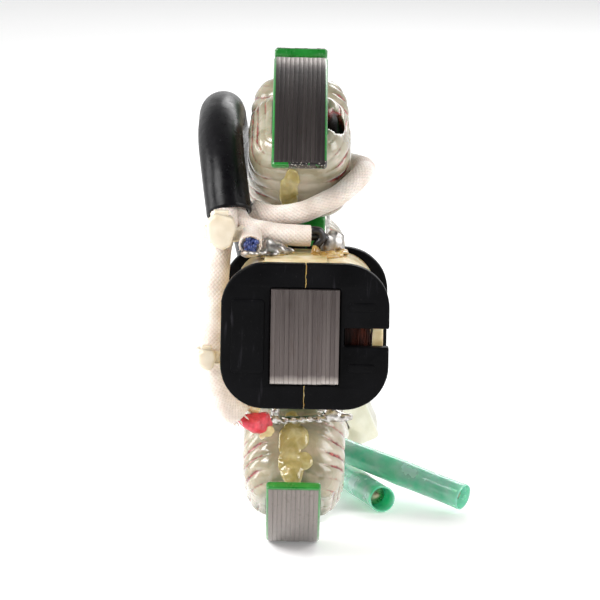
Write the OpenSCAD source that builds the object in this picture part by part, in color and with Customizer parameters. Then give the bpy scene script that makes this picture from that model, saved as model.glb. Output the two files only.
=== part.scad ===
// Flywheel magneto stator for a small engine: one ignition source coil on a split
// bobbin, five lighting coils on a green coated core, and the lead harness.
// The ring's axis is X. It stands on two pole tips, with the source coil to the front (-Y).

/* [Core] */
// Radius of the pole faces
face_r = 44; // [43:0.5:46]
// Thickness of the main lamination stack
stack_t = 8.6; // [8:0.2:9.4]
// Thickness of the epoxy coating
coat_t = 0.4; // [0.3:0.1:0.5]
// Outer radius of the hub
hub_r = 21.5; // [20:0.5:21.5]
// Radius of the centre bore
bore_r = 12; // [10:0.5:12.5]
// Width of a pole's neck
neck_w = 9.2; // [8:0.2:9.2]
// Half of the angle that a pole shoe spans
shoe_half = 20; // [17:1:21]
// Thickness of a shoe at its tips
tip_t = 1.3; // [1:0.1:1.6]
// Thickness of a shoe over its neck
shoe_t = 3.2; // [2.8:0.1:3.6]

/* [Mounting] */
// Diameter of the circle through the mounting screws
screw_pcd = 34; // [33:0.5:35]
// Radius of a mounting hole, inside its eyelet
screw_r = 2.7; // [2.2:0.1:2.8]

/* [Source coil] */
// Thickness of the extra lamination pack on the source pole
pack_t = 2.9; // [2:0.1:3.4]
// Width of the source pole's face
source_face_w = 16.2; // [14:0.2:17]
// Width of a bobbin flange, along the ring's axis
flange_w = 28.3; // [27:0.1:29]
// Height of a bobbin flange
flange_h = 24.8; // [24:0.1:25.4]
// Thickness of a bobbin flange
flange_t = 2; // [1.6:0.1:2.2]

/* [Lighting coils] */
// Width of a lighting coil along the ring's axis
coil_w = 17.4; // [17:0.2:18.4]
// Width of a lighting coil across its pole, in the ring's plane
coil_h = 19; // [17:0.5:19.5]
// Corner radius of a lighting coil
coil_corner = 6; // [5:0.5:7]

/* [Harness] */
// Diameter of the black harness sheath
sheath_d = 7.8; // [7.2:0.1:7.8]
// Diameter of one free lead
lead_d = 2.2; // [2:0.1:2.4]
// Length of a green terminal sleeve
cap_len = 27; // [24:0.5:27]
// Outer diameter of a green terminal sleeve
cap_d = 5; // [4.8:0.1:5]

/* [Hidden] */

$fn = 64;

// Pole angles in the ring's plane, where 180 is the front.
source_angle = 180;
coil_angles = [120, 60, 0, -60, -120];
eyelet_angles = [150, 30, -90];
rivet_angles = [90, -30, -150];

shoe_r = face_r - shoe_t;
coated_t = stack_t + 2 * coat_t;
face_bare = 0.15;
screw_circle_r = screw_pcd / 2;
eyelet_wall = 0.6;
eyelet_lip = 1.1;

// The source coil is centred on its stack and pack together.
source_t = stack_t + pack_t;
source_x = pack_t / 2;
slip = 0.05;
bobbin_wall = 0.9;
flange_corner = 7.5;
front_flange_r = face_r - 1.4 - flange_t;
rear_flange_r = hub_r + coat_t + 0.4;
winding_r0 = rear_flange_r + flange_t;
winding_w = flange_w - 7.4;
winding_h = flange_h - 4.2;
tape_w = flange_w - 4.4;
tape_h = flange_h - 1;
notch_h = 3.1;
notch_x = source_t / 2 + 0.8;

pin_r = 0.5;
pin_xs = [-3.4, 5.9];
pin_y = -(rear_flange_r + flange_t / 2);
pin_sunk = 3.5;
drop_r = 1.8;
pin_out_top = 2.8;
pin_out_low = 5;
bus_z = -(flange_h / 2 + pin_out_low);

coil_r0 = hub_r + coat_t + 1;
coil_r1 = face_r - shoe_t - coat_t - 0.8;
end_round = 4;

floor_z = -face_r * sin(60 + shoe_half);
cap_bore_r = 2.1;
bullet_r = 1.95;
bullet_len = 11;
crimp_r = 1.6;
crimp_len = 6;
bullet_inset = 3;
crimp_end = bullet_inset + bullet_len + crimp_len;

// Centre line of the black sheath, from its mouth at the upper tie to its far end.
sheath_route = [
    [-11.8, -27, 18.4], [-12.6, -24.4, 23.4], [-13.3, -20.6, 27.5], [-13.7, -15.8, 30.6],
    [-13.7, -10.5, 32.3], [-13.7, -4, 32.6], [-13.6, 8, 31.2], [-13.4, 20, 27.8],
    [-12.9, 32, 23.4], [-12.2, 44, 17.8], [-11, 55, 11], [-9.4, 65, 3],
    [-7.6, 73.6, -6.4], [-5.8, 79.6, -16.6], [-4.2, 82, -25], [-2.8, 80.4, -31.4],
    [-1.8, 76, -36.6], [-1.2, 70.6, -39.1], [-1, 65, floor_z + sheath_d / 2 + 0.05]
];

// A sleeve's open end, and the direction from it back along the lead.
tip_a = [16.4, 16.2, floor_z + 2.6];
back_a = [-0.3, 0.954, 0];
tip_b = [31.3, 17, floor_z + 3.1];
back_b = [-0.83, 0.52, 0.21];
cap_travel = 12;
lead_straight = cap_len + cap_travel + 0.5;

// A lead's bend, from its straight stretch to the mouth of the sheath.
lead_a_bend = [[2.2, 57.6, -41], [0, 61.6, -41.1], [-0.8, 65, -41.2]];
lead_b_bend = [
    [-4.6, 40.6, -32], [-6.4, 45, -32.6], [-6.6, 50, -34], [-5.2, 55.4, -36],
    [-3.2, 60.4, -37.6], [-2.6, 65, -38.4]
];
lead_c_bend = [
    [0.4, 65, -38], [-0.2, 60, -37.4], [-0.6, 55.6, -37], [0.2, 51.6, -36.8],
    [2.6, 48.9, -36.8], [5.8, 48.6, -36.8], [8.4, 50.6, -36.7], [9.4, 54, -36.5],
    [9.3, 58, -36.3], [9.1, 62, -36.1]
];
housing_at = [9.1, 61, -36.1];
housing_size = [12, 18, 10];
housing_roll = -24;

// Braided sleeves, which the ties and the coils hold all the way.
side_route = [
    [-12.6, -29.6, 16.8], [-13.5, -31.4, 13], [-13.9, -32.4, 7], [-13.9, -32.4, 0],
    [-13.9, -32.4, -6], [-13.2, -32, -10.5], [-11.6, -31, -13.8], [-9.8, -30, -15.8]
];
top_route = [
    [-8.6, -28, 16.2], [-4.6, -28.6, 15.4], [-0.6, -28.7, 15.1], [3.2, -28.2, 14.9]
];
loop_route = [
    [-7.8, -23.8, 18.6], [-5.2, -24.6, 17.9], [-2.4, -25.2, 18], [0.9, -25.6, 18.7],
    [3.7, -25.7, 20], [6.5, -25.2, 21.4], [9.1, -23.6, 23.3], [10.9, -20.8, 24.8],
    [11.4, -16.4, 24.9], [11.4, -11.6, 24.5], [11, -7, 24.2], [9, -3.4, 24.2],
    [5.8, -1.4, 24.2]
];
blue_route = [
    [-8, -32.7, 15.4], [-8, -34.2, 15.1], [-8, -35.8, 14.6]
];
side_d = 4.8;
top_d = 3.8;
loop_d = 3.8;
blue_d = 3.4;
wire_d = 1.9;
wire_blue_d = 1.4;
link_r = 0.6;
resin_t = 0.6;

// ---------------------------------------------------------------- helpers

function unit(v) = v / norm(v);

function tangent(route, i) =
    unit(route[min(i + 1, len(route) - 1)] - route[max(i - 1, 0)]);

function ring_points(centre, along, side, r, sides) =
    let (across = unit(cross(side, along)), up = cross(along, across))
    [for (k = [0:sides - 1])
        centre + r * (cos(360 * k / sides) * across + sin(360 * k / sides) * up)];

// A tube of constant diameter along a route. side is never parallel to the route.
module tube_along(route, d, side = [1, 0, 0], sides = 10) {
    last = len(route) - 1;
    points = [for (i = [0:last]) each ring_points(route[i], tangent(route, i), side, d / 2, sides)];
    walls = [for (i = [0:last - 1], k = [0:sides - 1])
        let (a = i * sides + k, b = i * sides + (k + 1) % sides)
        [a, a + sides, b + sides, b]];
    caps = [
        [for (k = [0:sides - 1]) k],
        [for (k = [sides - 1:-1:0]) last * sides + k]
    ];
    polyhedron(points, concat(walls, caps), convexity = 6);
}

module rounded_rect(w, h, r) {
    square([w - 2 * r, h], center = true);
    square([w, h - 2 * r], center = true);
    for (x = [-1, 1], y = [-1, 1])
        translate([x * (w / 2 - r), y * (h / 2 - r)]) circle(r);
}

// Turns a shape drawn in the plane (Y, Z) so that its height runs along X.
module in_ring_plane() {
    rotate([90, 0, 90]) children();
}

// Puts children on a pole: local x points outward, local y across, local z along X.
module on_pole(angle) {
    in_ring_plane() rotate(angle) children();
}

// Extrudes a profile in (X, Z) forward between two radii of the source pole.
module on_source(r0, r1) {
    translate([source_x, -r0, 0]) rotate([90, 0, 0]) linear_extrude(r1 - r0) children();
}

module ring_slab(t, x = 0) {
    translate([x, 0, 0]) in_ring_plane() linear_extrude(t, center = true) children();
}

// Puts children at a place, with their z axis along a direction.
module aimed(place, along) {
    d = unit(along);
    translate(place) rotate([0, acos(d[2]), atan2(d[1], d[0])]) children();
}

// ---------------------------------------------------------------- core

module shoe_outline(grow = 0, reach = face_r) {
    half = shoe_half + grow / face_r * 180 / PI;
    inner = face_r - tip_t - grow;
    root = shoe_r - grow;
    neck = neck_w / 2 + grow;
    intersection() {
        circle(reach, $fn = 128);
        polygon([
            [root, -neck], [inner * cos(half), -inner * sin(half)],
            [1.2 * face_r * cos(half), -1.2 * face_r * sin(half)],
            [1.2 * face_r * cos(half), 1.2 * face_r * sin(half)],
            [inner * cos(half), inner * sin(half)], [root, neck]
        ]);
    }
}

module neck_outline(from_r, grow = 0) {
    translate([from_r, -neck_w / 2 - grow])
        square([shoe_r + 0.5 - from_r, neck_w + 2 * grow]);
}

module coil_pole_outlines(grow = 0, reach = face_r) {
    for (angle = coil_angles)
        rotate(angle) {
            neck_outline(hub_r - 2, grow);
            shoe_outline(grow, reach);
        }
}

module source_pole_outline(from_r) {
    rotate(source_angle) {
        neck_outline(from_r);
        intersection() {
            circle(face_r, $fn = 128);
            translate([shoe_r, -source_face_w / 2]) square([shoe_t + 1, source_face_w]);
        }
    }
}

module at_hub(angles, r = screw_circle_r) {
    for (angle = angles) rotate(angle) translate([r, 0]) children();
}

module hub_holes() {
    circle(bore_r);
    at_hub(eyelet_angles) circle(screw_r + eyelet_wall);
    at_hub(rivet_angles) circle(1.6);
    at_hub([source_angle], 15) circle(1.2);
    at_hub([source_angle], 19.2) circle(1.2);
}

module core_outline(reach = face_r) {
    circle(hub_r, $fn = 128);
    coil_pole_outlines(0, reach);
    source_pole_outline(hub_r - 2);
}

module stator_core() color("dimgray")
    ring_slab(stack_t) difference() {
        core_outline();
        hub_holes();
    }

module core_coating() color("green")
    difference() {
        ring_slab(coated_t) difference() {
            union() {
                circle(hub_r + coat_t, $fn = 128);
                coil_pole_outlines(coat_t, face_r - face_bare);
            }
            hub_holes();
        }
        ring_slab(stack_t) core_outline(face_r + 0.5);
        ring_slab(pack_t, source_t / 2) source_pole_outline(bore_r + 0.8);
        ring_slab(2, -coated_t / 2) at_hub([source_angle], 17.1) rounded_rect(9, 6, 2.9);
    }

module source_core_pack() color("dimgray")
    ring_slab(pack_t, source_t / 2) difference() {
        source_pole_outline(bore_r + 0.8);
        at_hub([source_angle], 15) circle(1.2);
        at_hub([source_angle], 19.2) circle(1.2);
    }

// A solid rivet through a stack from x0 to x1, with a head at each end.
module rivet(x0, x1, r, head_r, head_t) {
    in_ring_plane() {
        translate([0, 0, x0]) cylinder(h = x1 - x0, r = r);
        translate([0, 0, x0 - head_t]) cylinder(h = head_t, r = head_r);
        translate([0, 0, x1]) cylinder(h = head_t, r = head_r);
    }
}

module place_on_hub(angle, r = screw_circle_r) {
    translate([0, r * cos(angle), r * sin(angle)]) children();
}

module core_rivets() color("silver")
    for (angle = rivet_angles)
        place_on_hub(angle) rivet(-coated_t / 2, coated_t / 2, 1.6, 2.8, 0.5);

module pack_rivets() color("silver")
    for (r = [15, 19.2])
        place_on_hub(source_angle, r)
            rivet(-stack_t / 2, stack_t / 2 + pack_t, 1.2, 1.9, 0.6);

module screw_eyelets() color("silver")
    for (angle = eyelet_angles)
        place_on_hub(angle) in_ring_plane() difference() {
            union() {
                cylinder(h = coated_t, r = screw_r + eyelet_wall, center = true);
                for (s = [-1, 1])
                    translate([0, 0, s * (coated_t + eyelet_wall) / 2])
                        cylinder(h = eyelet_wall, r = screw_r + eyelet_lip, center = true);
            }
            cylinder(h = 2 * coated_t, r = screw_r, center = true);
        }

// ---------------------------------------------------------------- source coil

module neck_window() {
    square([source_t + 2 * slip, neck_w + 2 * slip], center = true);
}

module tube_section() {
    square([source_t + 2 * bobbin_wall, neck_w + 2 * bobbin_wall], center = true);
}

module flange_section() {
    rounded_rect(flange_w, flange_h, flange_corner);
}

module whole_bobbin() {
    difference() {
        union() {
            on_source(front_flange_r, front_flange_r + flange_t) flange_section();
            on_source(winding_r0, front_flange_r) tube_section();
            on_source(rear_flange_r, winding_r0) flange_section();
        }
        on_source(rear_flange_r - 1, front_flange_r + 1) neck_window();
        on_source(shoe_r - slip, face_r)
            square([source_t + 2 * slip, source_face_w + 2 * slip], center = true);
        for (r = [rear_flange_r, front_flange_r])
            on_source(r - slip, r + flange_t + slip)
                translate([notch_x, -notch_h / 2]) square([flange_w, notch_h]);
        for (x = pin_xs, s = [-1, 1])
            translate([x, pin_y, s * (flange_h / 2 - pin_sunk / 2)])
                cylinder(h = pin_sunk, r = pin_r, center = true);
    }
}

module bobbin_half(side) {
    intersection() {
        whole_bobbin();
        translate([source_x + side * 50, -face_r / 2, 0]) cube([100, 2 * face_r, 100], center = true);
    }
}

module bobbin_left_half() color("#1a1a1c") bobbin_half(-1);

module bobbin_right_half() color("#1a1a1c") bobbin_half(1);

module source_winding() color("saddlebrown")
    on_source(winding_r0, front_flange_r) difference() {
        rounded_rect(winding_w, winding_h, 4.5);
        tube_section();
    }

module source_tape() color("cornsilk")
    on_source(winding_r0, front_flange_r) difference() {
        rounded_rect(tape_w, tape_h, 6.5);
        rounded_rect(winding_w, winding_h, 4.5);
    }

module terminal_pins() color("silver")
    for (x = pin_xs) {
        translate([x, pin_y, flange_h / 2 - pin_sunk]) cylinder(h = pin_sunk + pin_out_top, r = pin_r);
        translate([x, pin_y, bus_z]) cylinder(h = pin_sunk + pin_out_low, r = pin_r);
    }

// A drop of solder that stands on the flange round each upper pin.
module solder_joints() color("silver")
    for (x = pin_xs)
        translate([x, pin_y, flange_h / 2 + drop_r]) difference() {
            sphere(drop_r);
            cylinder(h = 4 * drop_r, r = pin_r, center = true);
        }

// The tinned wire that joins the two lower pins and the red wire's end.
module ground_bus_wire() color("silver")
    difference() {
        translate([pin_xs[0] - 1.4, pin_y, bus_z]) rotate([0, 90, 0])
            cylinder(h = pin_xs[1] - pin_xs[0] + 5.4, r = 1.1);
        for (x = pin_xs)
            translate([x, pin_y, bus_z]) cylinder(h = 5, r = pin_r);
    }

// ---------------------------------------------------------------- lighting coils

// A barrel of windings round a coated neck, rounded on all its edges.
module lighting_coil(angle) {
    span = coil_r1 - coil_r0;
    on_pole(angle) translate([(coil_r0 + coil_r1) / 2, 0, 0]) difference() {
        intersection() {
            rotate([90, 0, 90]) linear_extrude(span, center = true)
                rounded_rect(coil_h, coil_w, coil_corner);
            rotate([90, 0, 0]) linear_extrude(coil_h, center = true)
                rounded_rect(span, coil_w, end_round);
            linear_extrude(coil_w, center = true) rounded_rect(span, coil_h, end_round);
        }
        cube([2 * span, neck_w + 2 * coat_t, coated_t], center = true);
    }
}

module lighting_coil_1() color("#c8bca4") lighting_coil(coil_angles[0]);

module lighting_coil_2() color("#c8bca4") lighting_coil(coil_angles[1]);

module lighting_coil_3() color("#c8bca4") lighting_coil(coil_angles[2]);

module lighting_coil_4() color("#c8bca4") lighting_coil(coil_angles[3]);

module lighting_coil_5() color("#c8bca4") lighting_coil(coil_angles[4]);

// A run of bonding resin on each lighting coil, on the side towards the source coil.
module coil_resin() color("#c8ae5a")
    for (i = [0:len(coil_angles) - 1])
        on_pole(coil_angles[i])
            translate([(coil_r0 + coil_r1) / 2, (i < 2 ? 1 : -1) * (coil_h + resin_t) / 2, 0])
                cube([coil_r1 - coil_r0 - 2 * end_round, resin_t, 6], center = true);

// Bare tinned links from coil to coil, laid on the hub's coating.
module link_wires() color("peru")
    for (i = [0:3])
        translate([coated_t / 2 + link_r, 0, 0]) in_ring_plane()
            rotate(coil_angles[i + 1] + 12)
                rotate_extrude(angle = 36) translate([hub_r, 0]) circle(link_r, $fn = 24);

// ---------------------------------------------------------------- harness on the ring

module sleeve_side() color("linen") tube_along(side_route, side_d);

module sleeve_top() color("linen") tube_along(top_route, top_d, [0, 0, 1]);

module sleeve_loop() color("linen") tube_along(loop_route, loop_d, [0, 0, 1]);

module sleeve_blue() color("linen") tube_along(blue_route, blue_d, sides = 12);

module wire_red() color("crimson")
    tube_along([[-9.8, -30, -15.8], [-8.6, -28.6, -17], [-7.4, -26.4, -17.5],
        [pin_xs[0] - 1.4, pin_y, bus_z]], wire_d, sides = 8);

module wire_black() color("#202020")
    tube_along([[3.2, -28.2, 14.9], [4.5, -27.4, 14.8], [5.4, -26, 14.6]], wire_d, [0, 0, 1], 8);

module wire_blue() color("#31365f")
    tube_along([[-8, -35.9, 14.2], [-7.7, -35.4, 13.4], [-7, -33, 12.7], [-5.8, -29, 12.7],
        [-4.65, -25.2, 13.3]], wire_blue_d, [0, 0, 1], 8);

// A nylon tie: a band round an upright bundle, and its head on the outside.
module cable_tie(place, r, head, head_at) {
    difference() {
        union() {
            translate(place) cylinder(h = 2.4, r = r + 0.9, center = true);
            translate(place + head_at) cube(head, center = true);
        }
        translate(place) cylinder(h = 20, r = r, center = true);
    }
}

module cable_tie_upper() color("ivory")
    cable_tie([-12.6, -30.4, 15.6], side_d / 2 + 0.3, [4.2, 4, 6.2], [-1.2, -4.6, 0]);

module cable_tie_lower() color("ivory")
    cable_tie([-13.9, -32.4, -5.2], side_d / 2 + 0.1, [3.1, 3.4, 3.6], [-1.2, -4.2, 0]);

// ---------------------------------------------------------------- free harness

module harness_sheath() color("#1c1c20") tube_along(sheath_route, sheath_d, [1, 0, 0], 12);

// The route of a lead: straight from behind its terminal, then its own bend.
function lead_route(tip, back, bend) = concat(
    [for (s = [crimp_end, 26, 33, lead_straight]) tip + s * unit(back)], bend);

module lead_a() color("gold")
    tube_along(lead_route(tip_a, back_a, lead_a_bend), lead_d, [0, 0, 1], 8);

module lead_b() color("#202020")
    tube_along(lead_route(tip_b, back_b, lead_b_bend), lead_d, [0, 0, 1], 8);

module lead_c() color("ivory") tube_along(lead_c_bend, lead_d, [0, 0, 1], 8);

// A male bullet terminal with its crimp, pointing at the tip of its sleeve.
module bullet_terminal(tip, back) {
    aimed(tip, back) {
        translate([0, 0, bullet_inset + bullet_r]) sphere(bullet_r);
        translate([0, 0, bullet_inset + bullet_r]) cylinder(h = bullet_len - bullet_r, r = bullet_r);
        translate([0, 0, bullet_inset + bullet_len]) cylinder(h = crimp_len, r = crimp_r);
    }
}

module terminal_a() color("goldenrod") bullet_terminal(tip_a, back_a);

module terminal_b() color("goldenrod") bullet_terminal(tip_b, back_b);

// A soft sleeve that slides back along its lead to bare the terminal.
module terminal_cap(tip, back) {
    aimed(tip, back) difference() {
        cylinder(h = cap_len, r = cap_d / 2);
        translate([0, 0, -1]) cylinder(h = cap_len + 2, r = cap_bore_r);
    }
}

module terminal_sleeve_a() color("mediumseagreen") terminal_cap(tip_a, back_a);

module terminal_sleeve_b() color("mediumseagreen") terminal_cap(tip_b, back_b);

module in_housing() {
    translate(housing_at) rotate([0, housing_roll, 0]) children();
}

module connector_housing() color("ivory")
    in_housing() translate([0, housing_size[1] / 2, 0]) difference() {
        cube(housing_size, center = true);
        for (x = [-2.1, 2.1])
            translate([x, 1.5, 0]) cube([3.2, housing_size[1], 4.2], center = true);
        translate([0, -housing_size[1] / 2, 0]) cube([2.6, 6, 2.6], center = true);
    }

module connector_contacts() color("silver")
    in_housing() for (x = [-2.1, 2.1])
        translate([x, housing_size[1] / 2 + 1, 0]) cube([2.6, 9, 0.8], center = true);

// ---------------------------------------------------------------- the nodes

stator_core();
core_coating();
source_core_pack();
core_rivets();
pack_rivets();
screw_eyelets();
bobbin_left_half();
bobbin_right_half();
source_winding();
source_tape();
terminal_pins();
solder_joints();
ground_bus_wire();
lighting_coil_1();
lighting_coil_2();
lighting_coil_3();
lighting_coil_4();
lighting_coil_5();
coil_resin();
link_wires();
sleeve_side();
sleeve_top();
sleeve_loop();
sleeve_blue();
wire_red();
wire_black();
wire_blue();
cable_tie_upper();
cable_tie_lower();
harness_sheath();
lead_a();
lead_b();
lead_c();
terminal_a();
terminal_b();
terminal_sleeve_a();
terminal_sleeve_b();
connector_housing();
connector_contacts();
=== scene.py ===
"""Looks of a flywheel magneto stator with its lead harness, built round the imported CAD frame.

Lengths are in millimetres and are turned into metres where a mesh is made. X is the ring's axis,
-Y the front and +Z up.
"""

import math
import random

import bmesh
import bpy
import numpy as np
from mathutils import Matrix, Vector, noise


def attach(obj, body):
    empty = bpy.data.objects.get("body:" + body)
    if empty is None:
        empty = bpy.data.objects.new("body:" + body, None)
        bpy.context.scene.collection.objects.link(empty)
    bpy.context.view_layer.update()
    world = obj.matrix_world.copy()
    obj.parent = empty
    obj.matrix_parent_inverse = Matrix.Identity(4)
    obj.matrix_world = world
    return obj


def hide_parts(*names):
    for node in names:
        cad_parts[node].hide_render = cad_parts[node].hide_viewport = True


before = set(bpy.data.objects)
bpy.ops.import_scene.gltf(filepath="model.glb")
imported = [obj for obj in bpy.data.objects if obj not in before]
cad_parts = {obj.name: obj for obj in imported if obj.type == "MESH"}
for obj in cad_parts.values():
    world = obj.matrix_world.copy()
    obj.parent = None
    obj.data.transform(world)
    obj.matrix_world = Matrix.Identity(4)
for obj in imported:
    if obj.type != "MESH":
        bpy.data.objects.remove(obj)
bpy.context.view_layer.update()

MM = 0.001
ROOT = "stator"

# ---------------------------------------------------------------- dimensions

FACE_R, HUB_R, BORE_R = 44.0, 21.5, 12.0
STACK_T, COAT_T, PACK_T = 8.6, 0.4, 2.9
SOURCE_T = STACK_T + PACK_T
SOURCE_X = PACK_T / 2
NECK_W, SHOE_HALF, TIP_T, SHOE_T = 9.2, 20.0, 1.3, 3.2
SHOE_R = FACE_R - SHOE_T
FACE_BARE = 0.15
SCREW_R, SCREW_CIRCLE_R, EYELET_WALL = 2.7, 17.0, 0.6
SHEETS, PACK_SHEETS, SHEET_GAP, SHEET_BEVEL, CHAMFER = 11, 4, 0.02, 0.05, 1.7
COIL_ANGLES = [120, 60, 0, -60, -120]
EYELET_ANGLES = [150, 30, -90]
RIVET_ANGLES = [90, -30, -150]
SOURCE_FACE_W = 16.2
FLANGE_W, FLANGE_H, FLANGE_T, FLANGE_CORNER = 28.3, 24.8, 2.0, 7.5
FRONT_R, REAR_R = 40.6, 22.3
WINDING_R0 = REAR_R + FLANGE_T
NOTCH_H, NOTCH_X = 3.1, SOURCE_T / 2 + 0.8
PIN_XS, PIN_Y = [-3.4, 5.9], -23.3
PIN_LOW_Z = -17.4
COIL_R0, COIL_R1, COIL_MID_R, COIL_H, TURN_PITCH = 22.9, 39.6, 31, 19.0, 2.35
FLOOR_Z = -FACE_R * math.sin(math.radians(60 + SHOE_HALF))

LEAST_TURN = 25  # A corner that turns less, in degrees, is left as it is.

SHEATH_D, LEAD_D = 7.8, 2.2
SHEATH_ROUTE = [
    (-11.8, -27, 18.4), (-12.6, -24.4, 23.4), (-13.3, -20.6, 27.5), (-13.7, -15.8, 30.6),
    (-13.7, -10.5, 32.3), (-13.7, -4, 32.6), (-13.6, 8, 31.2), (-13.4, 20, 27.8),
    (-12.9, 32, 23.4), (-12.2, 44, 17.8), (-11, 55, 11), (-9.4, 65, 3),
    (-7.6, 73.6, -6.4), (-5.8, 79.6, -16.6), (-4.2, 82, -25), (-2.8, 80.4, -31.4),
    (-1.8, 76, -36.6), (-1.2, 70.6, -39.1), (-1, 65, FLOOR_Z + SHEATH_D / 2 + 0.05),
]
TIP_A, BACK_A = np.array([16.4, 16.2, FLOOR_Z + 2.6]), np.array([-0.3, 0.954, 0.0])
TIP_B, BACK_B = np.array([31.3, 17.0, FLOOR_Z + 3.1]), np.array([-0.83, 0.52, 0.21])
CAP_LEN, CAP_R, CAP_BORE_R, CAP_LIP_R, CRIMP_END, LEAD_STRAIGHT = 27.0, 2.5, 2.1, 0.16, 20.0, 39.5
LEAD_A_BEND = [(2.2, 57.6, -41), (0, 61.6, -41.1), (-0.8, 65, -41.2)]
LEAD_B_BEND = [
    (-4.6, 40.6, -32), (-6.4, 45, -32.6), (-6.6, 50, -34), (-5.2, 55.4, -36),
    (-3.2, 60.4, -37.6), (-2.6, 65, -38.4),
]
LEAD_C_BEND = [
    (0.4, 65, -38), (-0.2, 60, -37.4), (-0.6, 55.6, -37), (0.2, 51.6, -36.8),
    (2.6, 48.9, -36.8), (5.8, 48.6, -36.8), (8.4, 50.6, -36.7), (9.4, 54, -36.5),
    (9.3, 58, -36.3), (9.1, 62, -36.1),
]
SIDE_ROUTE = [
    (-12.6, -29.6, 16.8), (-13.5, -31.4, 13), (-13.9, -32.4, 7), (-13.9, -32.4, 0),
    (-13.9, -32.4, -6), (-13.2, -32, -10.5), (-11.6, -31, -13.8), (-9.8, -30, -15.8),
]
TOP_ROUTE = [(-8.6, -28, 16.2), (-4.6, -28.6, 15.4), (-0.6, -28.7, 15.1), (3.2, -28.2, 14.9)]
LOOP_ROUTE = [
    (-7.8, -23.8, 18.6), (-5.2, -24.6, 17.9), (-2.4, -25.2, 18), (0.9, -25.6, 18.7),
    (3.7, -25.7, 20), (6.5, -25.2, 21.4), (9.1, -23.6, 23.3), (10.9, -20.8, 24.8),
    (11.4, -16.4, 24.9), (11.4, -11.6, 24.5), (11, -7, 24.2), (9, -3.4, 24.2),
    (5.8, -1.4, 24.2),
]
BLUE_ROUTE = [(-8, -32.7, 15.4), (-8, -34.2, 15.1), (-8, -35.9, 14.4)]

# ---------------------------------------------------------------- looks


def srgb(r, g, b):
    """A screen colour, 0 to 255, as a linear colour with alpha."""
    def linear(c):
        c /= 255
        return c / 12.92 if c < 0.04045 else ((c + 0.055) / 1.055) ** 2.4
    return (linear(r), linear(g), linear(b), 1.0)


class Nodes:
    """A node tree, with short ways to add nodes and link them."""

    def __init__(self, tree):
        self.tree = tree

    def set(self, node, socket, value):
        if isinstance(value, bpy.types.NodeSocket):
            self.tree.links.new(value, node.inputs[socket])
        else:
            node.inputs[socket].default_value = value

    def node(self, kind, sockets, **props):
        made = self.tree.nodes.new("ShaderNode" + kind)
        for key, value in props.items():
            setattr(made, key, value)
        for key, value in sockets.items():
            self.set(made, key, value)
        return made

    def math(self, operation, a, b, clamp=False):
        return self.node("Math", {0: a, 1: b}, operation=operation, use_clamp=clamp).outputs[0]

    def levels(self, fac, low, high, out_low=0.0, out_high=1.0, **props):
        return self.node("MapRange", {"Value": fac, "From Min": low, "From Max": high,
                                      "To Min": out_low, "To Max": out_high}, **props).outputs[0]


class Look(Nodes):
    """A Principled material, with helpers for noise measured in cycles per millimetre."""

    def __init__(self, name, metal=0.0, **fixed):
        self.mat = bpy.data.materials.new(name)
        self.mat.use_nodes = True
        super().__init__(self.mat.node_tree)
        self.bsdf = self.tree.nodes["Principled BSDF"]
        for key, value in dict(fixed, Metallic=metal).items():
            self.bsdf.inputs[key.replace("_", " ")].default_value = value
        self.coords = self.tree.nodes.new("ShaderNodeTexCoord").outputs["Object"]
        self.normal = None

    def scaled(self, per_mm, stretch):
        size = tuple(per_mm / MM * s for s in stretch)
        return self.node("Mapping", {"Vector": self.coords, "Scale": size}).outputs[0]

    def noise(self, per_mm, detail=3.0, stretch=(1, 1, 1), distortion=0.0):
        return self.node("TexNoise", {"Vector": self.scaled(per_mm, stretch), "Scale": 1.0,
                                      "Detail": detail, "Distortion": distortion}).outputs[0]

    def cells(self, per_mm):
        return self.node("TexVoronoi", {"Vector": self.scaled(per_mm, (1, 1, 1)),
                                        "Scale": 1.0}).outputs[0]

    def attribute(self, name):
        return self.node("Attribute", {}, attribute_name=name).outputs["Fac"]

    def ramp(self, fac, *tones):
        """Turns a value into colours. Each tone is its place and its screen colour."""
        made = self.node("ValToRGB", {"Fac": fac})
        elements = made.color_ramp.elements
        while len(elements) < len(tones):
            elements.new(0.5)
        for element, (place, *colour) in zip(elements, tones):
            element.position, element.color = place, srgb(*colour)
        return made.outputs[0]

    def mix(self, fac, a, b):
        return self.node("Mix", {0: fac, 6: a, 7: b}, data_type="RGBA").outputs[2]

    def bump(self, height, strength, depth_mm):
        sockets = {"Height": height, "Strength": strength, "Distance": depth_mm * MM}
        if self.normal is not None:
            sockets["Normal"] = self.normal
        self.normal = self.node("Bump", sockets).outputs[0]

    def done(self, colour, rough=None):
        self.set(self.bsdf, "Base Color", colour)
        if rough is not None:
            self.set(self.bsdf, "Roughness", rough)
        if self.normal is not None:
            self.set(self.bsdf, "Normal", self.normal)
        return self.mat


def lamination_look():
    look = Look("lamination", metal=0.75)
    # tone is painted light: it sets how bright each face of the core is painted for its reflection
    # and shade.
    tone = look.attribute("tone")
    sheets = look.noise(1.25, 2, (1, 0.015, 0.015))
    grime = look.noise(0.9, 5, (1.4, 1, 0.35))
    fac = look.math("ADD", tone, look.levels(sheets, 0.3, 0.7, -0.06, 0.06), True)
    base = look.ramp(fac, (0.0, 24, 22, 23), (0.35, 88, 80, 78), (0.7, 148, 140, 135),
                     (1.0, 196, 190, 186))
    dirty = look.mix(look.levels(grime, 0.58, 0.76, 0, 0.3), base, srgb(66, 50, 40))
    look.bump(look.noise(6, 4, (1, 0.2, 0.2)), 0.35, 0.06)
    look.bump(grime, 0.25, 0.1)
    return look.done(dirty, look.levels(look.math("ADD", tone, grime), 0.4, 1.1, 0.58, 0.38))


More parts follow.
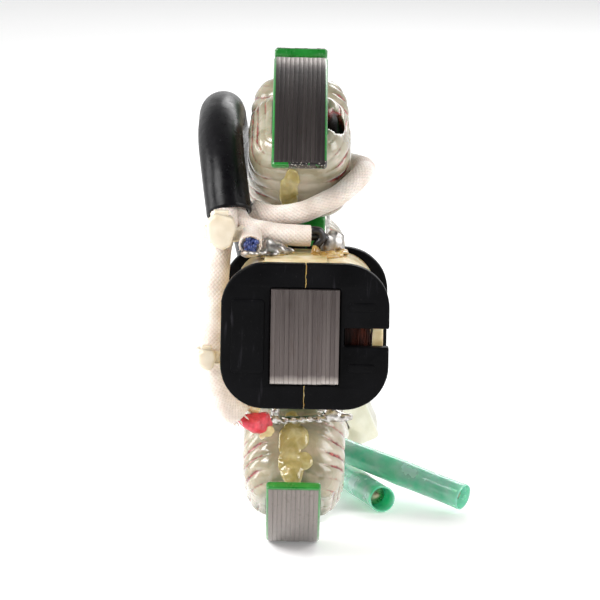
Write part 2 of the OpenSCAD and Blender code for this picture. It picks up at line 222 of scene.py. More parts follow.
def epoxy_look():
    look = Look("green_epoxy", Coat_Weight=0.5, Coat_Roughness=0.12)
    mottle = look.noise(0.35, 4)
    base = look.ramp(mottle, (0.3, 10, 100, 27), (0.55, 14, 118, 34), (0.75, 25, 131, 44))
    dust = look.levels(look.noise(2.2, 5), 0.62, 0.75, 0, 0.4)
    base = look.mix(dust, base, srgb(120, 170, 120))
    crumbs = look.levels(look.cells(3.2), 0.2, 0.3)
    chipped = look.mix(crumbs, srgb(196, 190, 178), srgb(34, 30, 30))
    edge = look.math("ADD", look.attribute("chip"),
                     look.levels(look.noise(1.6, 3), 0.3, 0.7, -0.3, 0.3))
    gone = look.levels(edge, 0.5, 0.56)
    look.bump(look.noise(1.3, 2), 0.28, 0.12)
    look.bump(gone, 0.8, -0.15)
    return look.done(look.mix(gone, base, chipped), look.levels(mottle, 0.3, 0.7, 0.22, 0.4))


def varnish_look():
    look = Look("varnished_winding", Coat_Weight=0.7, Coat_Roughness=0.08,
                Subsurface_Weight=0.12, Subsurface_Scale=0.5 * MM)
    pearl = look.noise(0.16, 4, distortion=0.6)
    cream = look.ramp(pearl, (0.28, 122, 114, 88), (0.5, 156, 148, 124), (0.72, 190, 181, 164))
    cream = look.mix(look.levels(look.noise(0.5, 3), 0.5, 0.75, 0, 0.35), cream,
                     srgb(206, 178, 164))
    groove = look.attribute("groove")
    wander = look.levels(look.noise(0.6, 4), 0.35, 0.65, -0.2, 0.16)
    line = look.levels(look.math("ADD", groove, wander), 0.3, 0.68)
    # Painted shade: the cream is painted darker towards the grooves between the turns.
    shade = look.levels(look.attribute("valley"), 0.25, 0.9, 0, 0.5)
    cream = look.mix(shade, cream, srgb(118, 100, 76))
    # Painted shade: the bottom of each pit dug into a coil is painted near black.
    hollow = look.levels(groove, 1.02, 1.3)
    red = look.ramp(look.noise(1.3, 3), (0.3, 62, 16, 14), (0.52, 132, 40, 34),
                    (0.75, 196, 84, 74))
    look.bump(look.noise(0.9, 3), 0.25, 0.15)
    look.bump(look.noise(5, 2), 0.1, 0.03)
    colour = look.mix(hollow, look.mix(line, cream, red), srgb(18, 12, 10))
    return look.done(colour, look.levels(pearl, 0.3, 0.7, 0.2, 0.34))


def cloudy_look(name, grain, tones, shine, bumps, stains=(), gloss=None, span=(0.3, 0.7),
                **fixed):
    """A look whose colour and roughness follow one noise, with stains, painted shade and bumps of
    others.

    A grain is what Look.noise takes; the first item of each stain and shade mark is that too, or
    the name of an attribute. The roughness goes from shine's first number to its second while the
    noise crosses span.
    """
    look = Look(name, **fixed)
    cloud = look.noise(*grain)
    base = look.ramp(cloud, *tones)
    for spots, levels, colour in stains:
        fac = look.attribute(spots) if isinstance(spots, str) else look.noise(*spots)
        base = look.mix(look.levels(fac, *levels), base, srgb(*colour))
    for dents, strength, depth in bumps:
        look.bump(look.noise(*dents), strength, depth)
    return look.done(base, look.levels(look.noise(*gloss) if gloss else cloud, *span, *shine))


def two_tones(dark, light):
    return [(0.3, *dark), (0.7, *light)]


def tinned(grain, dullness):
    """Settings for tinned metal with spots of old flux."""
    return dict(
        grain=(grain, 4), tones=[(0.3, 120, 114, 110), (0.5, 190, 186, 182), (0.72, 226, 224, 222)],
        shine=(0.22 + dullness, 0.44 + dullness), bumps=[((1.6, 2), 0.2, 0.08)],
        stains=[((0.7, 4), (0.6, 0.72, 0, 0.6), (120, 92, 58))], metal=1.0)


def resin(dark, mid, light):
    return dict(
        grain=(0.45, 4, (1, 1, 1), 0.5), tones=[(0.3, *dark), (0.5, *mid), (0.72, *light)],
        shine=(0.12, 0.26), bumps=[((0.7, 3), 0.3, 0.2)], Coat_Weight=0.5, IOR=1.5,
        Subsurface_Weight=0.5, Transmission_Weight=0.12, Subsurface_Scale=0.8 * MM,
        Subsurface_Radius=(1.0, 0.7, 0.3))


def insulation(dark, light):
    return dict(
        grain=(0.8, 4), tones=two_tones(dark, light), shine=(0.26, 0.46),
        bumps=[((2.2, 4), 0.25, 0.08)], Coat_Weight=0.25, Subsurface_Weight=0.08,
        Subsurface_Scale=0.3 * MM)


def nylon(dark, light, clear):
    return dict(
        grain=(0.3, 3), tones=two_tones(dark, light), shine=(0.28, 0.46),
        bumps=[((1.6, 4), 0.15, 0.06)], IOR=1.5, Subsurface_Weight=0.5,
        Transmission_Weight=clear, Subsurface_Scale=1.2 * MM, Subsurface_Radius=(1.0, 0.9, 0.75))


LOOKS = {
    "lamination_steel": lamination_look(),
    "green_epoxy": epoxy_look(),
    "varnished_winding": varnish_look(),
}
LOOKS.update((name, cloudy_look(name, **settings)) for name, settings in {
    "plated_steel": dict(
        grain=(1.1, 5), tones=[(0.3, 150, 146, 138), (0.6, 196, 194, 188), (0.75, 120, 112, 98)],
        shine=(0.22, 0.5), span=(0.3, 0.75), bumps=[((3.5, 4), 0.2, 0.05)], metal=1.0),
    "bobbin_black": dict(
        grain=(0.22, 4), tones=two_tones((5, 5, 6), (11, 11, 13)), shine=(0.34, 0.5),
        bumps=[((0.8, 3), 0.3, 0.12), ((7, 3), 0.18, 0.03)],
        stains=[((3.0, 6), (0.66, 0.8, 0, 0.22), (88, 84, 84)),
                ((1.4, 5, (1, 1, 0.12), 0.4), (0.64, 0.78, 0, 0.25), (66, 64, 70))],
        Specular_IOR_Level=0.06),
    "enamelled_copper": dict(
        grain=(0.8, 4, (1, 1, 0.3)), tones=[(0.3, 18, 8, 6), (0.5, 38, 16, 11), (0.72, 80, 34, 20)],
        shine=(0.36, 0.5), bumps=[((5, 2), 0.15, 0.03)], Specular_IOR_Level=0.12),
    "insulation_tape": dict(
        grain=(0.35, 5), tones=[(0.25, 180, 150, 90), (0.5, 214, 194, 144), (0.75, 240, 228, 206)],
        shine=(0.28, 0.5), bumps=[((4.5, 2, (1, 0.3, 1)), 0.2, 0.04), ((0.5, 3), 0.4, 0.25)],
        Subsurface_Weight=0.15, Coat_Weight=0.3, Subsurface_Scale=0.4 * MM),
    "tinned_metal": tinned(1.4, 0.0),
    "solder": tinned(1.1, 0.1),
    "bonding_resin": resin((150, 136, 76), (176, 160, 104), (206, 194, 146)),
    "flux_resin": resin((116, 78, 30), (178, 140, 72), (216, 190, 134)),
    "glass_braid": dict(
        grain=(0.3, 4), tones=[(0.3, 208, 192, 180), (0.55, 230, 218, 208), (0.75, 244, 240, 234)],
        shine=(0.6, 0.8), bumps=[((9, 3), 0.3, 0.04)],
        # The strand mark gives painted shade: the braid is darker between its strands and inside
        # its bore.
        stains=[("strand", (0.1, 0.55, 0.75, 0.0), (150, 136, 124))],
        Sheen_Weight=0.25, Subsurface_Weight=0.1, Subsurface_Scale=0.4 * MM),
    "red_insulation": insulation((176, 26, 44), (240, 72, 92)),
    "black_insulation": insulation((14, 13, 15), (40, 36, 38)),
    "blue_insulation": insulation((24, 34, 92), (66, 86, 152)),
    "nylon": nylon((208, 194, 170), (228, 218, 200), 0.04),
    "black_sheath": dict(
        grain=(0.15, 3), tones=two_tones((6, 6, 8), (13, 12, 15)), shine=(0.26, 0.42),
        bumps=[((0.35, 3), 0.3, 0.3), ((5, 3), 0.08, 0.03)],
        stains=[((2.4, 6), (0.66, 0.8, 0, 0.22), (112, 112, 118))], gloss=(0.8, 5),
        span=(0.35, 0.7), Coat_Weight=0.04, Coat_Roughness=0.2, Specular_IOR_Level=0.16),
    "lead_insulation_a": insulation((196, 152, 20), (232, 196, 60)),
    "lead_insulation_b": insulation((14, 14, 15), (38, 38, 42)),
    "lead_insulation_c": insulation((218, 216, 206), (240, 240, 232)),
    "terminal_brass": dict(
        grain=(0.9, 5), tones=[(0.3, 120, 104, 78), (0.55, 188, 176, 146), (0.75, 222, 216, 202)],
        shine=(0.2, 0.45), bumps=[((4, 3), 0.15, 0.04)], metal=1.0),
    "green_sleeve": dict(
        grain=(0.25, 3), tones=two_tones((88, 240, 174), (196, 255, 230)),
        shine=(0.16, 0.3), bumps=[((0.6, 3), 0.25, 0.15)], IOR=1.45,
        Transmission_Weight=0.32, Subsurface_Weight=0.6, Coat_Weight=0.3,
        Subsurface_Scale=1.2 * MM, Subsurface_Radius=(0.4, 1.0, 0.75)),
    "housing_nylon": nylon((220, 217, 196), (242, 240, 226), 0.1),
}.items())

# ---------------------------------------------------------------- mesh helpers


def finished(obj, slot, nodes=(), body=ROOT, look=None):
    """Gives a piece its material, its body and the CAD nodes that it stands for."""
    obj.data.materials.clear()
    obj.data.materials.append(LOOKS[look or slot])
    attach(obj, body)
    if nodes:
        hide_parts(*nodes)
    return obj


def in_scene(name, data):
    obj = bpy.data.objects.new(name, data)
    bpy.context.scene.collection.objects.link(obj)
    return obj


def mesh_object(name, mesh):
    mesh.polygons.foreach_set("use_smooth", [True] * len(mesh.polygons))
    return in_scene(name, mesh)


def marked(mesh, **attributes):
    """Gives each point of a mesh a value that its look reads."""
    for key, values in attributes.items():
        layer = mesh.attributes.new(key, "FLOAT", "POINT")
        layer.data.foreach_set("value", np.asarray(values, np.float32).ravel())


def new_mesh(name, verts_mm, faces, **attributes):
    mesh = bpy.data.meshes.new(name)
    mesh.from_pydata((np.asarray(verts_mm, float) * MM).tolist(), [],
                     [tuple(int(i) for i in f) for f in faces])
    marked(mesh, **attributes)
    mesh.validate()
    mesh.update()
    return mesh


def sharpened(mesh, degrees):
    """Keeps edges that turn more than this sharp, so that smooth shading stays clean."""
    mesh.set_sharp_from_angle(angle=math.radians(degrees))


def piece(name, parts, slot, nodes=(), sharp=None, look=None, body=ROOT, **attributes):
    """A finished piece from vertices and faces, with its edges kept sharp past an angle."""
    mesh = new_mesh(name, *parts, **attributes)
    if sharp:
        sharpened(mesh, sharp)
    return finished(mesh_object(name, mesh), slot, nodes, body, look)


def grid_parts(grid, caps=True):
    """Vertices and faces of a grid of rings of points, with its two ends closed."""
    rows, cols = grid.shape[:2]
    here = np.arange(rows * cols).reshape(rows, cols)
    beside = np.roll(here, -1, axis=1)
    faces = np.stack([here[:-1], beside[:-1], beside[1:], here[1:]], axis=-1)
    faces = faces.reshape(-1, 4).tolist()
    if caps:
        faces += [here[0, ::-1].tolist(), here[-1].tolist()]
    return grid.reshape(-1, 3), faces


def joined(parts):
    """Several (vertices, faces) as one."""
    verts, faces, first = [], [], 0
    for v, f in parts:
        verts.append(np.asarray(v, float))
        faces += [tuple(i + first for i in face) for face in f]
        first += len(v)
    return np.vstack(verts), faces


def lengths_along(path):
    return np.concatenate([[0], np.cumsum(np.linalg.norm(np.diff(path, axis=0), axis=1))])


def resampled(path, step):
    along = lengths_along(path)
    at = np.linspace(0, along[-1], max(3, int(round(along[-1] / step)) + 1))
    return np.stack([np.interp(at, along, path[:, k]) for k in range(3)], axis=1)


def smooth_path(points, step):
    """A smooth curve through the points, in even steps of about step."""
    p = np.array(points, float)
    p = np.vstack([2 * p[0] - p[1], p, 2 * p[-1] - p[-2]])
    t = np.linspace(0, 1, 24, endpoint=False)[:, None]
    out = []
    for a, b, c, d in zip(p, p[1:], p[2:], p[3:]):
        out.append(0.5 * (2 * b + (c - a) * t + (2 * a - 5 * b + 4 * c - d) * t ** 2
                          + (3 * b - a - 3 * c + d) * t ** 3))
    return resampled(np.vstack(out + [p[-2:-1]]), step)


def normals_along(path):
    """Two normals of a path at each point, which don't twist round it."""
    t = np.gradient(path, axis=0)
    t /= np.linalg.norm(t, axis=1)[:, None]
    up = np.array([0.0, 0.0, 1.0]) if abs(t[0][2]) < 0.8 else np.array([1.0, 0.0, 0.0])
    n = np.cross(t[0], up)
    normals = []
    for d in t:
        n = n - d * (n @ d)
        n /= np.linalg.norm(n)
        normals.append(n)
    normals = np.array(normals)
    return normals, np.cross(t, normals)


def tube_grid(path, radius, sides):
    """Rings of points round a path. radius is a number, one per ring, or one per point."""
    n, b = normals_along(path)
    turn = np.linspace(0, 2 * np.pi, sides, endpoint=False)
    r = np.broadcast_to(np.asarray(radius, float).reshape(
        (-1, 1) if np.ndim(radius) == 1 else np.shape(radius) or (1, 1)), (len(path), sides))
    across = np.cos(turn)[None, :, None] * n[:, None] + np.sin(turn)[None, :, None] * b[:, None]
    return path[:, None] + r[..., None] * across


def round_ended(path, radius, sides, end=0.6):
    """A tube with softly rounded ends."""
    along = lengths_along(path)
    near = np.minimum(along, along[-1] - along)
    drop = np.sqrt(np.clip(1 - (1 - np.clip(near / (end * radius), 0, 1)) ** 2, 0, 1))
    return grid_parts(tube_grid(path, radius * np.maximum(drop, 0.06), sides))


def with_bore(grid, centres, wall_share, depth):
    """A tube grid whose open ends turn in and run depth rings down its bore."""
    inner = centres[:, None] + (grid - centres[:, None]) * wall_share
    lip_a = centres[0] + (grid[0] - centres[0]) * (1 + wall_share) / 2
    lip_b = centres[-1] + (grid[-1] - centres[-1]) * (1 + wall_share) / 2
    step_a = (centres[0] - centres[1]) * 0.15
    step_b = (centres[-1] - centres[-2]) * 0.15
    return np.concatenate([inner[:depth][::-1], [lip_a + step_a], grid, [lip_b + step_b],
                           inner[-depth:][::-1]])


def lathe_parts(profile, segments, closed=False):
    """A profile of (along, radius) turned round the local z axis."""
    turn = np.linspace(0, 2 * np.pi, segments, endpoint=False)
    profile = list(profile) + ([profile[0]] if closed else [])
    grid = np.array([[(r * math.cos(a), r * math.sin(a), z) for a in turn] for z, r in profile])
    return grid_parts(grid, caps=not closed)


def aimed(verts, place, along):
    """Local vertices with their z axis turned along a direction."""
    turn = Vector(along).to_track_quat("Z", "Y").to_matrix()
    return np.asarray(verts) @ np.array(turn).T + np.asarray(place)


def softened(points, r):
    """A 2D outline with its corners rounded."""
    pts, out = [np.array(p, float) for p in points], []
    for a, b, c in zip(pts[-1:] + pts[:-1], pts, pts[1:] + pts[:1]):
        u, v = a - b, c - b
        lu, lv = np.linalg.norm(u), np.linalg.norm(v)
        if lu < 1e-6 or lv < 1e-6:
            continue
        u, v = u / lu, v / lv
        turn = math.pi - math.acos(max(-1, min(1, float(u @ v))))
        if math.degrees(turn) < LEAST_TURN:
            out.append(b)
            continue
        d = min(r * math.tan(turn / 2), 0.45 * lu, 0.45 * lv)
        for t in np.linspace(0, 1, 5):
            out.append((1 - t) ** 2 * (b + u * d) + 2 * t * (1 - t) * b + t ** 2 * (b + v * d))
    return out


def circle2d(r, centre=(0, 0), n=96):
    return [(centre[0] + r * math.cos(2 * math.pi * k / n),
             centre[1] + r * math.sin(2 * math.pi * k / n)) for k in range(n)]


def rect2d(w, h, centre=(0, 0)):
    return [(centre[0] + sx * w / 2, centre[1] + sy * h / 2)
            for sx, sy in ((-1, -1), (1, -1), (1, 1), (-1, 1))]


def plate(outline, thick, bevel, to_world, steps=2, holes=()):
    """A flat plate from a closed outline and its holes, with rounded edges."""
    curve = bpy.data.curves.new("plate", "CURVE")
    curve.dimensions, curve.fill_mode = "2D", "BOTH"
    curve.extrude = (thick / 2 - bevel) * MM
    curve.bevel_depth, curve.bevel_resolution, curve.offset = bevel * MM, steps, -bevel * MM
    for loop in (outline, *holes):
        spline = curve.splines.new("POLY")
        spline.points.add(len(loop) - 1)
        for point, (a, b) in zip(spline.points, loop):
            point.co = (a * MM, b * MM, 0, 1)
        spline.use_cyclic_u = True
    source = in_scene("plate", curve)
    mesh = bpy.data.meshes.new_from_object(
        source.evaluated_get(bpy.context.evaluated_depsgraph_get()))
    bpy.data.objects.remove(source)
    bpy.data.curves.remove(curve)
    work = bmesh.new()
    work.from_mesh(mesh)
    bmesh.ops.remove_doubles(work, verts=work.verts, dist=0.002 * MM)
    bmesh.ops.recalc_face_normals(work, faces=work.faces)
    work.to_mesh(mesh)
    work.free()
    mesh.transform(to_world)
    return mesh


def merged(name, meshes, slot, node, finish=None, sharp=38):
    """Several meshes as one finished piece. finish changes the mesh before it is shaded."""
    work = bmesh.new()
    for mesh in meshes:
        work.from_mesh(mesh)
        bpy.data.meshes.remove(mesh)
    mesh = bpy.data.meshes.new(name)
    work.to_mesh(mesh)
    work.free()
    if finish:
        finish(mesh)
    sharpened(mesh, sharp)
    finished(mesh_object(name, mesh), slot, [node])


def in_ring(x):
    """Turns a plate drawn in (Y, Z) to stand at x along the ring's axis."""
    return Matrix.Translation((x * MM, 0, 0)) @ Matrix(
        ((0, 0, 1, 0), (1, 0, 0, 0), (0, 1, 0, 0), (0, 0, 0, 1)))


def facing_front(y, x=SOURCE_X, z=0):
    """Turns a plate drawn in (X, Z) to face the front, at y."""
    return Matrix.Translation((x * MM, y * MM, z * MM)) @ Matrix(
        ((1, 0, 0, 0), (0, 0, -1, 0), (0, 1, 0, 0), (0, 0, 0, 1)))


def lump(name, parts, slot, nodes, voxel, smooth, rough, seed, look=None):
    """Overlapping (vertices, faces) melted into one soft piece with an uneven skin.

    voxel and rough are in millimetres, and smooth is the number of smoothing passes.
    """
    verts, faces = joined(parts)
    obj = in_scene(name, new_mesh(name, verts, faces))
    remesh = obj.modifiers.new("melt", "REMESH")
    remesh.mode, remesh.voxel_size = "VOXEL", voxel * MM
    relax = obj.modifiers.new("relax", "SMOOTH")
    relax.iterations, relax.factor = smooth, 0.5
    mesh = bpy.data.meshes.new_from_object(
        obj.evaluated_get(bpy.context.evaluated_depsgraph_get()))
    bpy.data.objects.remove(obj)
    moved = [v.co + v.normal * rough * MM * noise.noise(v.co / MM * 0.9 + Vector((seed,) * 3))
             for v in mesh.vertices]
    for vertex, co in zip(mesh.vertices, moved):
        vertex.co = co
    mesh.name = name
    finished(mesh_object(name, mesh), slot, nodes, look=look)


def ball(centre, radii, turn=(0, 0, 0)):
    """An ellipsoid's vertices and faces."""
    work = bmesh.new()
    bmesh.ops.create_icosphere(work, subdivisions=3, radius=1)
    rotate = np.array(Matrix.Rotation(turn[2], 3, "Z") @ Matrix.Rotation(turn[1], 3, "Y")
                      @ Matrix.Rotation(turn[0], 3, "X"))
    verts = np.array([v.co for v in work.verts]) * np.asarray(radii, float)
    faces = [tuple(v.index for v in f.verts) for f in work.faces]
    work.free()
    return verts @ rotate.T + np.asarray(centre, float), faces


def balls(*rows):
    """Ellipsoids, each from its centre, three half widths and, if need be, three turns."""
    return [ball(row[:3], row[3:6], row[6:] or (0, 0, 0)) for row in rows]


def turned_parts(profile, segments, places, closed=False):
    """A profile turned round a line along the ring's axis, at each place."""
    verts, faces = lathe_parts(profile, segments, closed)
    return joined([(aimed(verts, place, (1, 0, 0)), faces) for place in places])


def polar(r, degrees):
    return np.array([r * math.cos(math.radians(degrees)), r * math.sin(math.radians(degrees))])


# ---------------------------------------------------------------- camera

camera = in_scene("camera", bpy.data.cameras.new("camera"))
bpy.context.scene.camera = camera
# The angles, distance and shifts were fitted to the photo.
elevation, roll, distance = math.radians(9.63), math.radians(1.01), 0.7
back = Vector((0, -math.cos(elevation), math.sin(elevation)))
right = Vector((0, 0, 1)).cross(back).normalized()
turned = Matrix((right, back.cross(right), back)).transposed() @ Matrix.Rotation(roll, 3, "Z")
camera.matrix_world = Matrix.Translation(back * distance) @ turned.to_4x4()
camera.data.sensor_width, camera.data.lens = 36, 235.62
camera.data.shift_x, camera.data.shift_y = 0.00517, -0.00933
camera.data.clip_end = 10
bpy.context.scene.view_settings.view_transform = "Standard"

# ---------------------------------------------------------------- cords


def lead_points(tip, direction, bend):
    direction = direction / np.linalg.norm(direction)
    return [tip + s * direction for s in (CRIMP_END, 26, 33, LEAD_STRAIGHT)] + list(bend)


def cord_grid(route, d, sides, step, ripple):
    """A cable's path and its rings, with the faint waviness of soft insulation."""
    path = smooth_path(route, step)
    rings = np.arange(len(path))[:, None]
    turn = np.linspace(0, 2 * np.pi, sides, endpoint=False)[None, :]
    r = d / 2 * (1 - ripple * (1 + np.sin(0.31 * rings + 2 * turn) * np.sin(0.07 * rings)))
    return path, tube_grid(path, r, sides)


path, grid = cord_grid(SHEATH_ROUTE, SHEATH_D, 40, 0.6, 0.006)
sheath = piece("sheath", grid_parts(with_bore(grid, path, 0.84, 8)), "black_sheath",
               ["harness_sheath"])

LEAD_ROUTES = {
    "a": lead_points(TIP_A, BACK_A, LEAD_A_BEND),
    "b": lead_points(TIP_B, BACK_B, LEAD_B_BEND),
    "c": LEAD_C_BEND[::-1],
}
lead_paths, lead_objects = {}, {}
for letter, route in LEAD_ROUTES.items():
    lead_paths[letter], grid = cord_grid(route, LEAD_D, 16, 0.5, 0.004)
    lead_objects[letter] = piece("wire_lead_" + letter, grid_parts(grid),
                                 "lead_insulation_" + letter, ["lead_" + letter])

# ---------------------------------------------------------------- core


def half_angle(half_width, r):
    return math.degrees(math.asin(half_width / r))


def plain_pole(grow, reach, hub):
    w = NECK_W / 2 + grow
    half = SHOE_HALF + math.degrees(grow / FACE_R)
    inner = FACE_R - TIP_T - grow
    side = [(math.sqrt(hub ** 2 - w ** 2), w), (SHOE_R - grow, w), polar(inner, half)]
    face = [polar(reach, a) for a in np.linspace(-half, half, 41)]
    return [(u, -v) for u, v in side] + face + side[::-1]


def source_pole(hub, chamfer):
    w, half = NECK_W / 2, SOURCE_FACE_W / 2
    side = [(math.sqrt(hub ** 2 - w ** 2), w), (SHOE_R, w), (SHOE_R, half)]
    face = [polar(FACE_R, a) for a in np.linspace(
        -half_angle(half, FACE_R), half_angle(half - chamfer, FACE_R), 41)]
    return [(u, -v) for u, v in side] + face + [(face[-1][0] - 0.45, half)] + side[::-1]


def star_outline(grow=0.0, reach=FACE_R, with_source=True, chamfer=CHAMFER, corner=0.5):
    """The outline of the hub and its poles, in (Y, Z)."""
    hub, points = HUB_R + grow, []
    angles = sorted(COIL_ANGLES + ([180] if with_source else []))
    for i, angle in enumerate(angles):
        pole = source_pole(hub, chamfer) if angle == 180 else plain_pole(grow, reach, hub)
        c, s = math.cos(math.radians(angle)), math.sin(math.radians(angle))
        points += [(u * c - v * s, u * s + v * c) for u, v in pole]
        after = angles[(i + 1) % len(angles)] + (360 if i + 1 == len(angles) else 0)
        edge = half_angle(NECK_W / 2 + grow, hub)
        count = max(3, int((after - angle) / 4))
        points += [polar(hub, a)
                   for a in np.linspace(angle + edge, after - edge, count)[1:-1]]
    return softened(points, corner)


def hub_holes():
    """The bore, and the screw holes with room for their eyelets."""
    return [circle2d(BORE_R)] + [
        circle2d(SCREW_R + EYELET_WALL, polar(SCREW_CIRCLE_R, a), 32) for a in EYELET_ANGLES]


def with_painted_light(mesh):
    """Marks painted light on the steel: how bright each face of the core is painted, for the
    reflection and shade it gets.

    The upper pole's face is round 120 degrees, the lower one's round -120, the source's round 180.
    """
    values = []
    for v in mesh.vertices:
        y, z = v.co.y / MM, v.co.z / MM
        r, angle = math.hypot(y, z), math.degrees(math.atan2(z, y))
        tone = 0.42
        # Painted reflection and shade: each pole face gets its own brightness, the upper and lower
        # ones a gradient across it.
        if r > 43.3:
            if abs(angle - 120) < 22:
                tone = 0.14 + 0.48 * max(0.0, min(1.0, (108.5 - angle) / 6))
            elif abs(angle + 120) < 22:
                tone = 0.58 - 0.3 * max(0.0, min(1.0, (angle + 106) / 5))
            elif abs(abs(angle) - 180) < 15:
                tone = 0.36
        # Painted highlight: a bright band along the lower teeth of the source face.
        if abs(abs(angle) - 180) < 15 and r > 42.5 and z < -6.6:
            tone = 0.78
        values.append(tone)
    marked(mesh, tone=values)


def stamped(outline, shrink, i, pitch, first_x, holes=()):
    """The i-th sheet of a stack that starts at first_x."""
    return plate([(y * shrink, z * shrink) for y, z in outline], pitch - SHEET_GAP, SHEET_BEVEL,
                 in_ring(first_x + (i + 0.5) * pitch), holes=holes)


rng = random.Random(4)
sheets = []
for i in range(SHEETS):
    outline = star_outline(chamfer=CHAMFER + rng.uniform(-0.15, 0.15))
    shrink = 1 - rng.uniform(0, 0.0016)
    sheets.append(stamped(outline, shrink, i, STACK_T / SHEETS, -STACK_T / 2, hub_holes()))
merged("core_laminations", sheets, "lamination_steel", "stator_core", with_painted_light)


def pack_outline(chamfer):
    pole = source_pole(HUB_R, chamfer)[1:-1]
    pole = [(BORE_R + 0.8, -NECK_W / 2)] + pole + [(BORE_R + 0.8, NECK_W / 2)]
    return softened([(-u, -v) for u, v in pole], 0.7)


sheets = []
for i in range(PACK_SHEETS):
    shrink = 1 - rng.uniform(0, 0.0016)
    outline = pack_outline(CHAMFER + rng.uniform(-0.15, 0.15))
    sheets.append(stamped(outline, shrink, i, PACK_T / PACK_SHEETS, STACK_T / 2))
merged("source_pole_laminations", sheets, "lamination_steel", "source_core_pack", with_painted_light)


def with_chips(mesh):
    """Marks where the coat is chipped, at the upper pole's lower edge, on points added there."""
    work = bmesh.new()
    work.from_mesh(mesh)
    tip_edges = [e for e in work.edges
                 if all(math.hypot(v.co.y, v.co.z) > 41.5 * MM and v.co.y < -28 * MM
                        and v.co.z > 0 for v in e.verts) and e.calc_length() > 3 * MM]
    bmesh.ops.subdivide_edges(work, edges=tip_edges, cuts=30, use_grid_fill=True)
    work.to_mesh(mesh)
    work.free()
    chips = []
    for v in mesh.vertices:
        x, y, z = v.co / MM
        near_tip = math.degrees(math.atan2(z, y)) > 139.2 and math.hypot(y, z) > 41.8 and z > 0
        chips.append(0.75 if near_tip and x > -1.9 else 0.0)
    marked(mesh, chip=chips)


coat_hole = softened([(-y, z) for y, z in rect2d(9, 6, (17.1, 0))], 2.9)
coat = plate(star_outline(COAT_T, FACE_R - FACE_BARE, False, corner=0.9), STACK_T + 2 * COAT_T,
             0.5, in_ring(0), 3, hub_holes() + [coat_hole])
merged("epoxy_coat", [coat], "green_epoxy", "core_coating", with_chips, 50)

t, r = STACK_T / 2 + COAT_T, SCREW_R
profile = [(-t - 0.5, 0.3), (-t - 0.48, 1.2), (-t - 0.36, 2.0), (-t - 0.14, 2.6),
           (-t, 2.8), (-t + 0.05, 1.6), (t - 0.05, 1.6), (t, 2.8), (t + 0.12, 2.76),
           (t + 0.3, 2.5), (t + 0.42, 1.9), (t + 0.3, 1.1), (t + 0.26, 0.2)]
places = [(0, *polar(SCREW_CIRCLE_R, a)) for a in RIVET_ANGLES]
piece("hub_rivets", turned_parts(profile, 40, places), "plated_steel", ["core_rivets"], 50)

a, b = -STACK_T / 2, STACK_T / 2 + PACK_T
profile = [(a - 0.6, 0.2), (a - 0.56, 0.9), (a - 0.4, 1.5), (a - 0.1, 1.86), (a, 1.9),
           (a + 0.05, 1.2), (b - 0.05, 1.2), (b, 1.9), (b + 0.15, 1.84), (b + 0.45, 1.4),
           (b + 0.58, 0.8), (b + 0.5, 0.2)]
piece("pack_rivets_domed", turned_parts(profile, 32, [(0, -15, 0), (0, -19.2, 0)]),
      "plated_steel", ["pack_rivets"], 50)

half = [(0, r + EYELET_WALL), (t, r + EYELET_WALL), (t + 0.02, r + 1.1), (t + 0.25, r + 1.08),
        (t + 0.5, r + 0.8), (t + 0.6, r + 0.4), (t + 0.5, r + 0.12), (t + 0.1, r)]
profile = [(-z, q) for z, q in half[::-1]] + half[1:]
places = [(0, *polar(SCREW_CIRCLE_R, a)) for a in EYELET_ANGLES]
piece("hole_eyelets", turned_parts(profile, 48, places, closed=True), "plated_steel",
      ["screw_eyelets"], 50)

# ---------------------------------------------------------------- source coil


def arc2d(cx, cz, r, a0, a1, n=14):
    return [(cx + r * math.cos(math.radians(a)), cz + r * math.sin(math.radians(a)))
            for a in np.linspace(a0, a1, n)]


def flange_half(side, window_h, seam=0.04):
    """Half of a flange, in (X, Z) from the seam. The right one has the slot."""
    w, h, c = FLANGE_W / 2, FLANGE_H / 2, FLANGE_CORNER
    window = SOURCE_T / 2 + 0.05
    points = [(seam, h)] + arc2d(w - c, h - c, c, 90, 0)
    if side > 0:
        points += [(w, NOTCH_H / 2), (NOTCH_X, NOTCH_H / 2),
                   (NOTCH_X, -NOTCH_H / 2), (w, -NOTCH_H / 2)]
    points += arc2d(w - c, c - h, c, 0, -90) + [(seam, -h), (seam, -window_h / 2),
                                               (window, -window_h / 2), (window, window_h / 2),
                                               (seam, window_h / 2)]
    rough = [(x + 0.05 * noise.noise(Vector((x, z, side)) * 1.7),
              z + 0.05 * noise.noise(Vector((z, x, side + 5)) * 1.7)) for x, z in points]
    return softened([(side * x, z) for x, z in rough], 0.35)


def tube_wall_half(side):
    a, b = SOURCE_T / 2 + 0.05, NECK_W / 2 + 0.05
    points = [(0.04, b), (a, b), (a, -b), (0.04, -b), (0.04, -b - 0.85), (a + 0.85, -b - 0.85),
              (a + 0.85, b + 0.85), (0.04, b + 0.85)]
    return [(side * x, z) for x, z in points]


for side, name in ((-1, "left"), (1, "right")):
    meshes = [
        plate(flange_half(side, SOURCE_FACE_W + 0.1), FLANGE_T, 0.32,
              facing_front(-FRONT_R - FLANGE_T / 2), 3),
        plate(flange_half(side, NECK_W + 0.1), FLANGE_T, 0.32,
              facing_front(-REAR_R - FLANGE_T / 2), 3),
        plate(tube_wall_half(side), FRONT_R - WINDING_R0 + 0.2, 0.05,
              facing_front(-(FRONT_R + WINDING_R0) / 2), 1),
    ]
    if side < 0:
        pad = softened(rect2d(5.6, 12.6, (-9.6, 0)), 0.8)
        meshes.append(plate(pad, 0.5, 0.12, facing_front(-FRONT_R - FLANGE_T + 0.1)))
    else:
        for z in (-5.2, 5.2):
            rib = softened(rect2d(4.6, 1.4, (9.6, z)), 0.5)
            meshes.append(plate(rib, 0.44, 0.12, facing_front(-FRONT_R - FLANGE_T + 0.08)))
    merged("bobbin_" + name, meshes, "bobbin_black", "bobbin_" + name + "_half")

